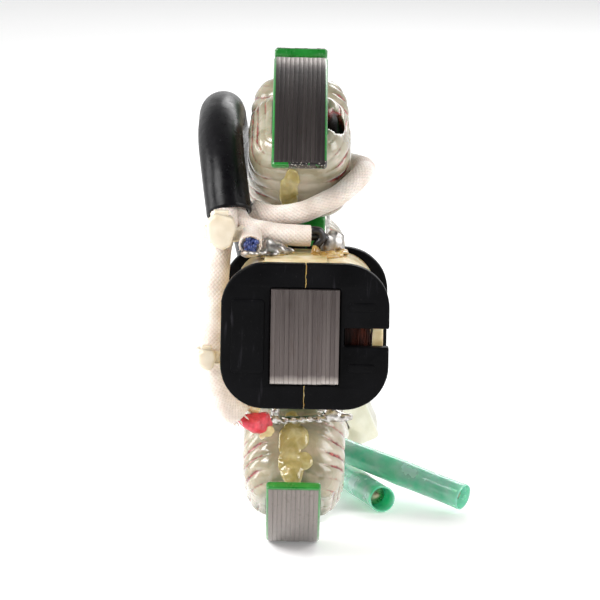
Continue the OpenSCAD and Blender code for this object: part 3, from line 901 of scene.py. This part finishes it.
seams = []
for top, bottom in ((12.2, 8.3), (-8.35, -12.25)):
    heights = np.linspace(top, bottom, 40)
    wave = np.array([noise.noise(Vector((z * 2.1, 0.3, 0.7))) for z in heights])
    path = np.stack([SOURCE_X + 0.12 * wave, np.full(40, -FRONT_R - FLANGE_T + 0.06), heights],
                    axis=1)
    seams.append(grid_parts(tube_grid(path, 0.065 + 0.05 * wave, 10)))
piece("seam_glue", joined(seams), "bonding_resin", look="flux_resin")


def ring_points(w, h, r, corner=12, side=10):
    """A rounded rectangle, with the same number of points whatever its size."""
    arcs = [arc2d(sx * (w / 2 - r), sy * (h / 2 - r), r, a, a + 90, corner)
            for sx, sy, a in ((1, 1, 0), (-1, 1, 90), (-1, -1, 180), (1, -1, 270))]
    points = []
    for arc, after in zip(arcs, arcs[1:] + arcs[:1]):
        (x0, z0), (x1, z1) = arc[-1], after[0]
        points += arc + [(x0 + (x1 - x0) * t, z0 + (z1 - z0) * t)
                         for t in np.linspace(0, 1, side + 1)[1:-1]]
    return np.array(points)


def wound_rows(layers, samples):
    """Rows of the winding: over its front end, down its outside and over its rear end."""
    w0, h0 = SOURCE_T + 1.9, NECK_W + 1.9
    w1, h1 = FLANGE_W - 7.4, FLANGE_H - 4.2
    front, rear = -FRONT_R + 0.08, -WINDING_R0 - 0.08
    rows = []
    for end, order in ((front, 1), (rear, -1)):
        part = []
        for k in range(layers * samples + 1):
            g = k / (layers * samples)
            bump = abs(math.sin(math.pi * k / samples)) ** 0.5
            sink = 0.16 * (1 - bump) + 0.1 * (1 + noise.noise(Vector((k // samples * 3.1, 0, 7))))
            ring = ring_points(w0 + (w1 - w0) * g, h0 + (h1 - h0) * g, 0.4 + 4.1 * g)
            y = end + order * sink
            part.append([(x + SOURCE_X, y, z) for x, z in ring])
        rows += part if order > 0 else part[::-1]
    return np.array(rows)


piece("source_turns", grid_parts(wound_rows(layers=15, samples=5), caps=False),
      "enamelled_copper", ["source_winding"])

meshes = []
for k, (w, h, c, y0, y1) in enumerate((
        (21.9, 21.7, 5.0, -40.35, -24.5), (22.9, 22.8, 5.6, -40.52, -24.4),
        (23.8, 23.7, 6.4, -40.2, -24.6))):
    inner = ring_points(w - 1.02, h - 1.0, c - 0.4)
    outer = ring_points(w, h, c)
    wave = [1 + 0.003 * noise.noise(Vector((x * 0.3, z * 0.3, k))) for x, z in outer]
    meshes.append(plate([(x * f, z * f) for (x, z), f in zip(outer, wave)], y1 - y0, 0.12,
                        facing_front((y0 + y1) / 2), holes=[inner[::-1]]))
flap = softened([(-7, 11.8), (3.4, 11.85), (3.6, 12.2), (-7, 12.15)], 0.1)
meshes.append(plate(flap, 14.6, 0.04, facing_front(-32.2), 1))
fold = softened(rect2d(2.2, 5.4, (12.05, 0)), 0.3)
meshes.append(plate(fold, 0.9, 0.2, facing_front(-FRONT_R + 0.62)))
merged("source_coil_tape", meshes, "insulation_tape", "source_tape")

turns = []
for k in range(7):
    x = 10.5 + 0.36 * k
    path = resampled(np.array([(x, -FRONT_R + 0.12, -2.3), (x, -FRONT_R + 0.12, 2.3)]), 0.3)
    path[:, 0] += 0.05 * np.sin(1.3 * path[:, 2] + 2 * k)
    turns.append(round_ended(path, 0.19, 12))
piece("slot_turns", joined(turns), "enamelled_copper")

pins = []
for x in PIN_XS:
    for a, b in ((8.9, 15.2), (-8.9, PIN_LOW_Z)):
        path = resampled(np.array([(x, PIN_Y, a), (x, PIN_Y, b)], float), 0.25)
        pins.append(round_ended(path, 0.5, 14, 0.7))
piece("bobbin_pins", joined(pins), "tinned_metal", ["terminal_pins"])


def wire_parts(points, r, sides=10, step=0.3):
    return round_ended(smooth_path(points, step), r, sides)


lump("solder_left", balls(
    (-4.9, -31.2, 13.2, 1.75, 1.5, 1.75), (-3.7, -31.4, 13.0, 1.9, 1.2, 1.2),
    (-2.4, -31.5, 12.9, 1.5, 0.8, 0.65), (-5.3, -31.6, 14.1, 1.0, 0.9, 0.9),
    (-4.4, -32.2, 12.4, 1.3, 1.2, 0.8), (-1.3, -31.6, 12.9, 0.9, 0.4, 0.35),
    (-4.4, -29.2, 12.6, 1.2, 2.6, 0.7), (-3.6, -26.2, 12.6, 1.0, 2.2, 0.7),
    (-3.4, -23.6, 13.7, 1.1, 1.1, 1.6),
) + [wire_parts([(-8.2, -35.4, 12.9), (-7.2, -34.6, 12.6), (-6.0, -33.0, 12.6),
                 (-5.0, -31.8, 12.8)], 0.6)]
    + balls((-8.5, -35.3, 12.9, 1.3, 1.1, 0.75), (-7.4, -35.2, 12.8, 1.0, 0.9, 0.6)),
    "solder", [], 0.16, 7, 0.2, 3)
lump("solder_right", balls(
    (6.0, -27.0, 13.7, 1.9, 1.6, 1.95), (6.8, -26.8, 14.2, 1.2, 1.2, 1.5),
    (5.3, -27.2, 13.0, 1.5, 1.3, 1.3), (6.2, -27.0, 14.9, 1.25, 1.0, 0.9),
    (7.1, -27.0, 12.8, 0.9, 0.9, 0.9), (5.9, -25.2, 13.2, 1.4, 1.6, 1.2),
    (5.9, -23.5, 13.7, 1.2, 1.1, 1.7)), "solder", ["solder_joints"], 0.16, 7, 0.22, 11)
lump("flux_pools", balls(
    (-4.4, -31.4, 11.95, 2.8, 2.2, 0.45), (-2.2, -29.4, 11.95, 1.8, 3.0, 0.35),
    (4.9, -30.0, 11.95, 3.0, 3.2, 0.5), (6.4, -27.4, 12.1, 2.4, 2.2, 0.65),
    (3.1, -29.2, 12.6, 0.75, 0.8, 1.0), (5.9, -24.4, 12.4, 1.7, 1.3, 0.7),
    (-3.4, -24.0, 12.3, 1.7, 1.3, 0.6)), "bonding_resin", [], 0.18, 4, 0.4, 5, "flux_resin")

strands = []
t = np.linspace(0, 1, 90)
for k in range(3):
    turn = 2 * np.pi * (3.2 * t + k / 3)
    wide = 0.5 + 0.06 * np.sin(9 * t + k)
    path = np.stack([-4.8 + 14.7 * t + 0.1 * np.sin(7 * t),
                     PIN_Y + wide * np.cos(turn) - 0.35 * np.sin(3 * t),
                     PIN_LOW_Z - 0.9 * (1 - t) + 0.6 * wide * np.sin(turn)], axis=1)
    strands.append(round_ended(path, 0.38, 10))
lump("bus_twist", strands + balls(
    (6.6, PIN_Y - 0.2, -17.2, 2.0, 1.1, 1.1), (7.9, PIN_Y - 0.1, -17.4, 1.4, 1, 0.9),
    (-3.5, PIN_Y, -17.9, 1.2, 0.9, 0.75), (5.9, PIN_Y, -16.6, 0.9, 0.9, 1.0),
    (-3.4, PIN_Y, -16.6, 0.8, 0.8, 0.9)), "tinned_metal", ["ground_bus_wire"], 0.13, 2, 0.2, 2)

# ---------------------------------------------------------------- lighting coils


def on_pole(angle, across, x, radial):
    """Coil coordinates as a point: across the pole, along the ring's axis, outward."""
    c, s = math.cos(math.radians(angle)), math.sin(math.radians(angle))
    return np.stack([x, radial * c - across * s, radial * s + across * c], axis=-1)


def barrel_rows(count):
    """Rows from the neck over one end, along the barrel and back in over the other end."""
    def end(start, stop, r, depth):
        return [(0.03 + 0.97 * math.sin(t), r + depth * (1 - math.cos(t)))
                for t in np.linspace(start, stop, 40)]
    low, high, build = 4.0, 6.6, 4.4
    steps = end(0, np.pi / 2, COIL_R0, low)
    steps += [(1.0, r) for r in np.linspace(COIL_R0 + low, COIL_R1 - high, 40)[1:-1]]
    steps += end(np.pi / 2, 0, COIL_R1, -high)
    steps = np.array([(build * g, r, g) for g, r in steps])
    along = lengths_along(steps[:, :2])
    at = np.linspace(0, along[-1], count)
    return at, np.interp(at, along, steps[:, 2]), np.interp(at, along, steps[:, 1])


def noise_round(points, z):
    return np.array([noise.noise(Vector((a, b, z))) for a, b in points])


def coil_piece(index, angle, pits=()):
    """Thick varnished turns over a barrel: the gaps between them show the red enamel."""
    seed = 17.0 * index
    at, grown, radial = barrel_rows(112)
    corner = side = 26
    rows, groove, valley = [], [], []
    count = 4 * (corner + side - 1)
    u = np.arange(count) / count
    for s, g, r in zip(at, grown, radial):
        # Each ring is between the neck's section, 10 by 9.4, and the barrel's, 19 by 18.
        ring = ring_points(10.0 + 9.0 * g, 9.4 + 8.6 * g, 0.5 + 5.5 * g, corner, side)
        a, x = ring[:, 0], ring[:, 1]
        wob = noise_round(ring * 0.16, s * 0.12 + seed)
        lean = 0.45 * np.sin(2 * np.pi * (2 * u + 0.13 * index)) * np.sin(0.28 * s + index)
        phase = s / TURN_PITCH + u + 0.5 * wob + 0.25 * lean - 0.5 * (x / 9) ** 2
        ridge = np.abs(np.sin(np.pi * phase)) ** 0.5
        filled = noise_round(ring * 0.21 + (9, 0), r * 0.3 + seed)
        opened = np.clip(0.62 + 1.1 * filled, 0.12, 1.0)
        outer = np.clip((np.abs(x) / 9 - 0.45) / 0.35, 0, 1)
        sink = 0.66 * (1 - ridge) * opened * (0.4 + 0.6 * outer) + 0.1 * (1 + wob)
        reach = np.abs(a) + np.abs(x) + 1e-9
        n_a, n_x = a / reach, x / reach
        scale = np.hypot(n_a, n_x)
        rad = r + (sink * (1 if r < COIL_MID_R else -1)) * math.sqrt(max(0.0, 1 - g ** 2)) * 0.9
        a2, x2 = a - sink * n_a / scale * g, x - sink * n_x / scale * g
        red = np.clip((1 - ridge) * (0.15 + 0.95 * outer) * (0.35 + 0.85 * opened), 0, 1)
        # Painted shade: how deep in a groove between turns each point lies, which the look paints
        # darker.
        valley.append((1 - ridge) * (0.4 + 0.6 * outer))
        for pa, px, pr, size, depth in pits:
            d = np.sqrt(((a - pa) / size[0]) ** 2 + ((x - px) / size[1]) ** 2
                        + ((r - pr) / size[2]) ** 2)
            pull = np.clip(1 - d, 0, 1) ** 0.6
            rad = rad - depth * pull * (1 if pr > COIL_MID_R else -1) * (1 if g < 0.97 else 0)
            # Inside a pit the mark goes past 1, which the look turns into near-black painted shade.
            red = np.maximum(red, 1.0 * (pull > 0) + 0.8 * pull)
        rows.append(on_pole(angle, a2, x2, rad))
        groove.append(red)
    piece(f"coil_{index + 1}_turns", grid_parts(np.array(rows), caps=False),
          "varnished_winding", [f"lighting_coil_{index + 1}"], groove=groove, valley=valley)


COIL_PITS = {
    0: [(0.2, 6.1, 39.0, (3.4, 1.8, 3.6), 5.0)],
    4: [(7.0, -5.2, 25.4, (1.6, 2.6, 1.6), 1.2)],
}
for index, angle in enumerate(COIL_ANGLES):
    coil_piece(index, angle, COIL_PITS.get(index, ()))


def resin_on(angle, side, lobes):
    """Flat lobes of resin on a coil's face: (along x, radial, half widths, thickness)."""
    parts = []
    for x, r, wx, wr, t in lobes:
        verts, faces = ball((0, 0, 0), (t, wx, wr))
        place = on_pole(angle, verts[:, 0] + side * (COIL_H / 2 - 0.12), verts[:, 1] + x,
                        verts[:, 2] + r)
        parts.append((place, faces))
    return parts


RESIN = {
    0: (1, [(-1.7, 30.5, 1.7, 4.0, 0.5), (-1.5, 27.2, 1.6, 3.4, 0.55), (-1.2, 33.0, 1.4, 2.6, 0.45),
            (-1.6, 24.6, 1.5, 1.8, 0.5)]),
    1: (1, [(0.6, 29, 2.0, 4.4, 0.5), (-0.8, 33, 1.7, 2.4, 0.4), (1.4, 25.6, 1.6, 2.2, 0.5)]),
    2: (-1, [(-0.4, 30, 2.2, 4.6, 0.5), (0.9, 34, 1.4, 2.0, 0.4), (0.4, 26, 2.2, 2.0, 0.5)]),
    3: (-1, [(0.3, 31, 2.4, 4.2, 0.5), (-1.2, 27, 1.7, 2.6, 0.5), (1.3, 34.2, 1.5, 1.8, 0.4)]),
    4: (-1, [(-0.7, 31.0, 2.1, 4.0, 0.5), (1.2, 30.0, 1.4, 2.3, 0.55), (1.8, 34.2, 1.6, 1.7, 0.6),
             (-0.2, 36.4, 1.9, 2.6, 0.9), (-0.9, 34.6, 1.9, 3.2, 0.6),
             (-0.5, 27.4, 1.5, 2.4, 0.5)]),
}
parts = []
for index, (side, lobes) in RESIN.items():
    parts += resin_on(COIL_ANGLES[index], side, lobes)
lump("resin_runs", parts, "bonding_resin", ["coil_resin"], 0.17, 5, 0.2, 8)

links = []
for i in range(4):
    middle = (COIL_ANGLES[i] + COIL_ANGLES[i + 1]) / 2
    route = []
    for k, turn in enumerate(np.linspace(-20, 20, 13)):
        outward = max(0.0, (abs(turn) - 10) / 10) ** 1.6
        route.append((STACK_T / 2 + COAT_T + 0.56 + 0.05 * math.sin(0.9 * k + i),
                      *polar(HUB_R - 0.5 + 3.4 * outward + 0.12 * math.sin(0.7 * k + i),
                             middle + turn)))
    links.append(wire_parts(route, 0.5, 16, 0.2))
piece("coil_links", joined(links), "tinned_metal", ["link_wires"])

# ---------------------------------------------------------------- braided sleeves


def braid_piece(name, route, d, nodes, carriers=16, flare=0.0):
    """A hollow sleeve of strands that pass over and under each other."""
    # Painted shade inside the sleeve's bore: the look paints it darker by this mark.
    painted_bore_shade = 0.35
    width = math.pi * d / carriers
    sides = carriers * 6
    path = smooth_path(route, width / 6)
    along = lengths_along(path)
    s, phi = along[:, None] / width, np.arange(sides)[None, :] / sides * carriers
    a, b = (phi + s), (phi - s)
    fa, fb = a - np.floor(a) - 0.5, b - np.floor(b) - 0.5
    over_a = (np.floor(a) + np.floor(b)) % 2 == 0
    own, other = np.where(over_a, fa, fb), np.where(over_a, fb, fa)
    strand = np.sqrt(np.clip(1 - (1.9 * own) ** 2, 0, 1)) * (0.5 + 0.5 * np.cos(np.pi * other))
    swell = 0.02 * d * np.sin(0.6 * along + 1.3)[:, None]
    ends = flare * (np.exp(-along / 0.8) + np.exp(-(along[-1] - along) / 0.8))[:, None]
    grid = tube_grid(path, d / 2 - 0.2 + 0.17 * strand - np.abs(swell) * 0.5 + ends, sides)
    full = with_bore(grid, path, 0.8, 6)
    depth = len(full) - len(grid)
    # Painted shade: the low places between strands, and the bore, are painted darker by the braid's
    # look.
    marks = np.concatenate([np.full((depth // 2, sides), painted_bore_shade), strand,
                            np.full((depth - depth // 2, sides), painted_bore_shade)])
    piece(name, grid_parts(full), "glass_braid", nodes, strand=marks)


braid_piece("braid_side", [(-13.2, -25.4, 21.4), (-12.8, -27.6, 19.4)] + SIDE_ROUTE, 4.8,
            ["sleeve_side"], 20)
braid_piece("braid_top", [(-11.0, -26.3, 20.2), (-10.4, -27.1, 17.9)] + TOP_ROUTE[:3]
            + [(2.1, -28.4, 15.0)], 3.8, ["sleeve_top"])
braid_piece("braid_loop", LOOP_ROUTE, 3.8, ["sleeve_loop"])
braid_piece("braid_blue", BLUE_ROUTE, 3.9, ["sleeve_blue"], flare=0.1)


def frayed(name, centre, direction, radius, count, length, seed):
    """Loose fibres at a cut end."""
    draw = random.Random(seed)
    direction = np.array(direction, float) / np.linalg.norm(direction)
    side = np.cross(direction, (0.3, 0.5, 0.8))
    side /= np.linalg.norm(side)
    other = np.cross(direction, side)
    parts = []
    for _ in range(count):
        a = draw.uniform(0, 2 * math.pi)
        out = math.cos(a) * side + math.sin(a) * other
        start = np.array(centre) + out * radius
        reach = length * draw.uniform(0.4, 1)
        bend = draw.uniform(-0.5, 0.7)
        route = [start - direction * 0.8, start + direction * reach * 0.4 + out * bend * 0.2,
                 start + direction * reach + out * bend]
        parts.append(wire_parts(route, 0.07, 5, 0.3))
    verts, faces = joined(parts)
    piece(name, (verts, faces), "glass_braid", strand=np.full(len(verts), 0.9))


frayed("fray_side", SIDE_ROUTE[-1], (1.8, 1.0, -2.0), 2.0, 26, 1.3, 1)
frayed("fray_loop", LOOP_ROUTE[0], (-2.6, 0.8, 0.8), 1.7, 18, 1.0, 2)
frayed("fray_blue", BLUE_ROUTE[-1], (0, -1.7, -0.7), 1.75, 22, 0.45, 3)

# ---------------------------------------------------------------- wires at the bobbin

path = smooth_path([(-9.9, -30.4, -15.9), (-8.6, -30.2, -16.9), (-7.2, -29.4, -17.4),
                    (-5.8, -27.9, -17.7), (-4.9, -26.2, -17.7)], 0.2)
t = np.linspace(0, 1, len(path))
wide = np.interp(t, [0, 0.12, 0.5, 0.75, 0.92, 1], [0.3, 0.9, 1.75, 1.85, 1.6, 1.45])
turn = np.linspace(0, 2 * np.pi, 28, endpoint=False)[None, :]
fold = 1 - 0.28 * np.abs(np.cos(turn + 0.6)) ** 3 + 0.06 * np.sin(3 * turn + 7 * t[:, None])
grid = tube_grid(path, wide[:, None] * fold, 28)
piece("red_insulation_end", grid_parts(with_bore(grid, path, 0.72, 8)), "red_insulation",
      ["wire_red"])

curl = [(1.4, -28.5, 15.4), (2.6, -28.9, 16.0), (3.7, -28.8, 15.8), (4.1, -28.6, 14.7),
        (3.3, -28.7, 13.7), (2.6, -28.8, 13.9)]
through = [(1.2, -28.4, 14.8), (2.8, -28.0, 14.9), (4.2, -27.8, 14.7), (5.4, -27.2, 14.2)]
piece("black_wire_end", joined([wire_parts(curl, 0.72, 16, 0.2),
                                wire_parts(through, 0.8, 16, 0.25)]),
      "black_insulation", ["wire_black"])

stubs = []
for k in range(9):
    x = -8.05 + 0.38 * math.sqrt(k) * math.cos(2.4 * k)
    z = 14.6 + 0.38 * math.sqrt(k) * math.sin(2.4 * k)
    stubs.append(wire_parts([(x, -33.6, z + 0.6), (x, -35.0, z + 0.2),
                             (x + 0.1 * math.sin(5 * k), -36.3 + 0.25 * math.sin(3 * k),
                              z - 0.1 + 0.1 * math.cos(4 * k))], 0.47, 12, 0.2))
stubs.append(wire_parts([(-8, -35.6, 14.2), (-7.6, -35.2, 13.3), (-7, -33, 12.75),
                         (-5.8, -29, 12.7), (-4.65, -25.2, 13.3)], 0.62, 14, 0.3))
piece("blue_wire_end", joined(stubs), "blue_insulation", ["wire_blue"])

lump("tape_scraps", balls(
    (-7.2, -28.6, -15.2, 1.3, 0.5, 0.75, 0, 0.15, 0),
    (-5.0, -28.6, -19.2, 1.35, 0.35, 0.8, 0, 0.5, 0.2),
    (-4.2, -28.7, -18.9, 0.8, 0.3, 0.7, 0, -0.2, 0),
    (-5.6, -28.7, -19.9, 0.5, 0.2, 0.55, 0, 0.9, 0)), "insulation_tape", [], 0.12, 2, 0.25, 4)

# ---------------------------------------------------------------- cable ties


def tie_piece(name, place, r, head, head_at, node):
    """A toothed strap round a bundle, with its latching head and cut tail outside."""
    place = np.array(place, float)
    sides = 120
    turn = np.linspace(0, 2 * np.pi, sides, endpoint=False)
    tooth = 0.05 * np.sign(np.sin(turn * 30))
    section = [(-1.2, 0.05), (-1.05, 0.0), (1.05, 0.0), (1.2, 0.05), (1.2, 0.55), (1.05, 0.72),
               (0.8, 0.78), (0.7, 0.66), (-0.7, 0.66), (-0.8, 0.78), (-1.05, 0.72), (-1.2, 0.55)]
    grid = []
    for k, (z, out) in enumerate(section + section[:1]):
        rr = r + out + (tooth if k in (7, 8) else 0)
        grid.append(np.stack([place[0] + rr * np.cos(turn), place[1] + rr * np.sin(turn),
                              np.full(sides, place[2] + z)], axis=-1))
    strap, faces = grid_parts(np.array(grid), caps=False)
    at = place + np.array(head_at)
    w, d, h = head
    # The head is a soft, tilted block with the cut tail on top.
    outline = softened([(w / 2 * a, h / 2 * b) for a, b in (
        (-0.38, 0.98), (0.8, 0.78), (1.02, 0.25), (0.66, -0.76), (0.1, -1.0), (-0.86, -0.5),
        (-0.98, 0.56))], 0.9)
    tail = softened(rect2d(w * 0.5, 0.9, (0, h / 2)), 0.2)
    merged(name, [plate(outline, d - 0.5, 0.6, facing_front(at[1] + 0.2, at[0], at[2]), 5),
                  plate(tail, d * 0.5, 0.15, facing_front(at[1] + 0.3, at[0], at[2])),
                  new_mesh("strap", strap, faces)], "nylon", node)


tie_piece("tie_upper", (-12.6, -30.4, 15.6), 2.7, (5.0, 4.0, 6.3), (-0.4, -4.6, 0.9),
          "cable_tie_upper")
tie_piece("tie_lower", (-13.9, -32.4, -5.2), 2.5, (3.3, 3.4, 3.8), (-1.2, -4.2, 0),
          "cable_tie_lower")

# ---------------------------------------------------------------- terminals and housing


def terminal_piece(letter, tip, back, nose):
    """A bullet with its ring groove, and a crimp barrel on the stripped strands."""
    profile = [(nose + z, r) for z, r in ((0, 0.25), (0.12, 0.85), (0.5, 1.4), (1.1, 1.75))]
    profile += [(4.9, 1.92), (7.6, 1.95), (7.9, 1.72), (8.3, 1.62), (8.7, 1.72), (9.0, 1.95),
                (13.6, 1.95), (14.0, 1.7), (14.2, 1.56), (15.0, 1.6), (16.9, 1.6), (17.2, 1.28),
                (17.8, 1.24), (18.4, 1.3), (18.7, 1.58), (19.9, 1.58), (20.0, 1.2)]
    verts, faces = lathe_parts(profile, 40)
    crimped = (verts[:, 2] > 14.4) & (verts[:, 2] < 19.6)
    verts[crimped, 0] *= 0.86
    piece("bullet_" + letter, (aimed(verts, tip, back), faces), "terminal_brass",
          ["terminal_" + letter], 50)


def cap_piece(letter, tip, back):
    """A soft sleeve: a flared lip, a faint ring over the terminal's shoulder, an open rear."""
    z = np.linspace(0, CAP_LEN, 60)
    lip, ring = CAP_LIP_R * np.exp(-z / 1.1), 0.1 * np.exp(-((z - 13.8) / 2.2) ** 2)
    outer = CAP_R - CAP_LIP_R + lip + ring - 0.12 * np.clip((z - 17) / 8, 0, 1)
    profile = [(0.02, CAP_BORE_R + 0.12), (0.0, CAP_R - 0.12)] + list(zip(z[1:], outer[1:]))
    profile += [(CAP_LEN - 0.02, CAP_BORE_R + 0.06)] + [
        (q, CAP_BORE_R) for q in np.linspace(CAP_LEN - 0.25, 0.3, 24)]
    verts, faces = lathe_parts(profile, 56, closed=True)
    piece("green_cap_" + letter, (aimed(verts, tip, back), faces), "green_sleeve",
          ["terminal_sleeve_" + letter], body="sleeve_" + letter)


for letter, tip, direction, nose in (("a", TIP_A, BACK_A, 3.0), ("b", TIP_B, BACK_B, 1.0)):
    direction = direction / np.linalg.norm(direction)
    terminal_piece(letter, tip, direction, nose)
    cap_piece(letter, tip, direction)

HOUSING_AT, HOUSING_SIZE, HOUSING_ROLL = (9.1, 61, -36.1), (12, 18, 10), math.radians(-24)


def housed(name, meshes, slot, node):
    """Plates drawn in the housing's own frame, as a piece in its place."""
    turn = Matrix.Translation(Vector(HOUSING_AT) * MM) @ Matrix.Rotation(HOUSING_ROLL, 4, "Y")
    for mesh in meshes:
        mesh.transform(turn)
    merged(name, meshes, slot, node)


def along_y(y):
    """Turns a plate of the housing, drawn in (X, Z) about its middle, to stand at y."""
    return facing_front(y, 0)


w, long, h = HOUSING_SIZE
body = softened(rect2d(w, h), 0.9)
cavities = [softened(rect2d(3.2, 4.2, (x, 0)), 0.35) for x in (-2.1, 2.1)]
entry = softened(rect2d(2.6, 2.6), 0.5)
meshes = [
    plate(body, long - 1.5, 0.25, along_y(1.5 + (long - 1.5) / 2), holes=cavities),
    plate(body, 1.55, 0.2, along_y(0.78), holes=[entry]),
]
for x in (-1, 1):
    rib = softened(rect2d(1.0, h * 0.8, (x * (w / 2 - 0.42), 0)), 0.3)
    meshes += [plate(rib, 1.0, 0.2, along_y(y)) for y in (5.4, 9.2, 13.0)]
latch = softened(rect2d(3.6, 0.9, (0, h / 2 - 0.35)), 0.2)
hook = softened(rect2d(4.4, 1.0, (0, h / 2 - 0.4)), 0.25)
meshes += [plate(latch, 9.0, 0.18, along_y(8.4)), plate(hook, 1.4, 0.2, along_y(13.6))]
housed("plug_housing", meshes, "housing_nylon", "connector_housing")
meshes = []
for x in (-2.1, 2.1):
    blade = softened([(x - 1.3, -0.4), (x + 1.3, -0.4), (x + 1.3, 0.4), (x + 0.9, 0.4),
                      (x + 0.9, -0.1), (x - 0.9, -0.1), (x - 0.9, 0.4), (x - 1.3, 0.4)], 0.12)
    meshes.append(plate(blade, 9.0, 0.06, along_y(long / 2 + 1)))
housed("plug_contacts", meshes, "tinned_metal", "connector_contacts")

for letter, length, ends in (("a", 0.032, ["bullet_a", "green_cap_a"]),
                             ("b", 0.0503, ["bullet_b", "green_cap_b"]),
                             ("c", 0.0355, ["plug_housing", "plug_contacts"])):
    path = lead_paths[letter] * MM

# ---------------------------------------------------------------- floor and light

verts = [(x / MM, y / MM, FLOOR_Z) for y in (-4, 4) for x in (-4, 4)]
faces = [(0, 1, 3, 2)]
floor = mesh_object("floor", new_mesh("floor", verts, faces))
look = Look("pale_floor", Roughness=0.6, Emission_Color=(1, 1, 1, 1), Emission_Strength=0.22)
floor.data.materials.append(look.done(look.ramp(
    look.noise(0.004, 2), (0.3, 244, 244, 244), (0.7, 248, 248, 248))))

world = bpy.data.worlds.new("studio")
bpy.context.scene.world = world
world.use_nodes = True
# The studio is bright behind and beside the object and dark round the camera, with a white paper
# backdrop on every side.
studio = Nodes(world.node_tree)
facing = studio.node("SeparateXYZ", {0: studio.node("TexCoord", {}).outputs["Generated"]}).outputs
bright = studio.levels(facing["Y"], -0.75, 0.25, 0.16, 0.86, interpolation_type="SMOOTHSTEP")
ceiling = studio.levels(facing["Z"], 0.25, 0.85, 1.0, 0.45, interpolation_type="SMOOTHSTEP")
paper = studio.node("LightPath", {}).outputs["Is Camera Ray"]
strength = studio.math("MAXIMUM", studio.math("MULTIPLY", bright, ceiling), paper)
background = studio.tree.nodes["Background"]
studio.set(background, "Strength", strength)
studio.set(background, "Color", (1, 1, 1, 1))


def softbox(name, place, target, size, power):
    lamp = bpy.data.lights.new(name, "AREA")
    lamp.shape, lamp.size, lamp.size_y, lamp.energy = "RECTANGLE", size[0], size[1], power
    obj = in_scene(name, lamp)
    obj.location = place
    obj.rotation_euler = (Vector(target) - Vector(place)).to_track_quat("-Z", "Y").to_euler()


# Each box's size and distance are in metres, its power in watts.
softbox("key", (-0.5, -0.4, 0.5), (0, 0, 0), (0.4, 0.4), 6.5)
softbox("fill", (0.6, -0.3, 0.3), (0, 0, 0), (0.4, 0.5), 3.2)
softbox("rear", (0.3, 0.7, 0.5), (0, 0.1, -0.02), (0.6, 0.4), 3.0)
softbox("side", (-0.7, 0.05, 0.12), (0, 0, 0), (0.3, 0.5), 3.0)
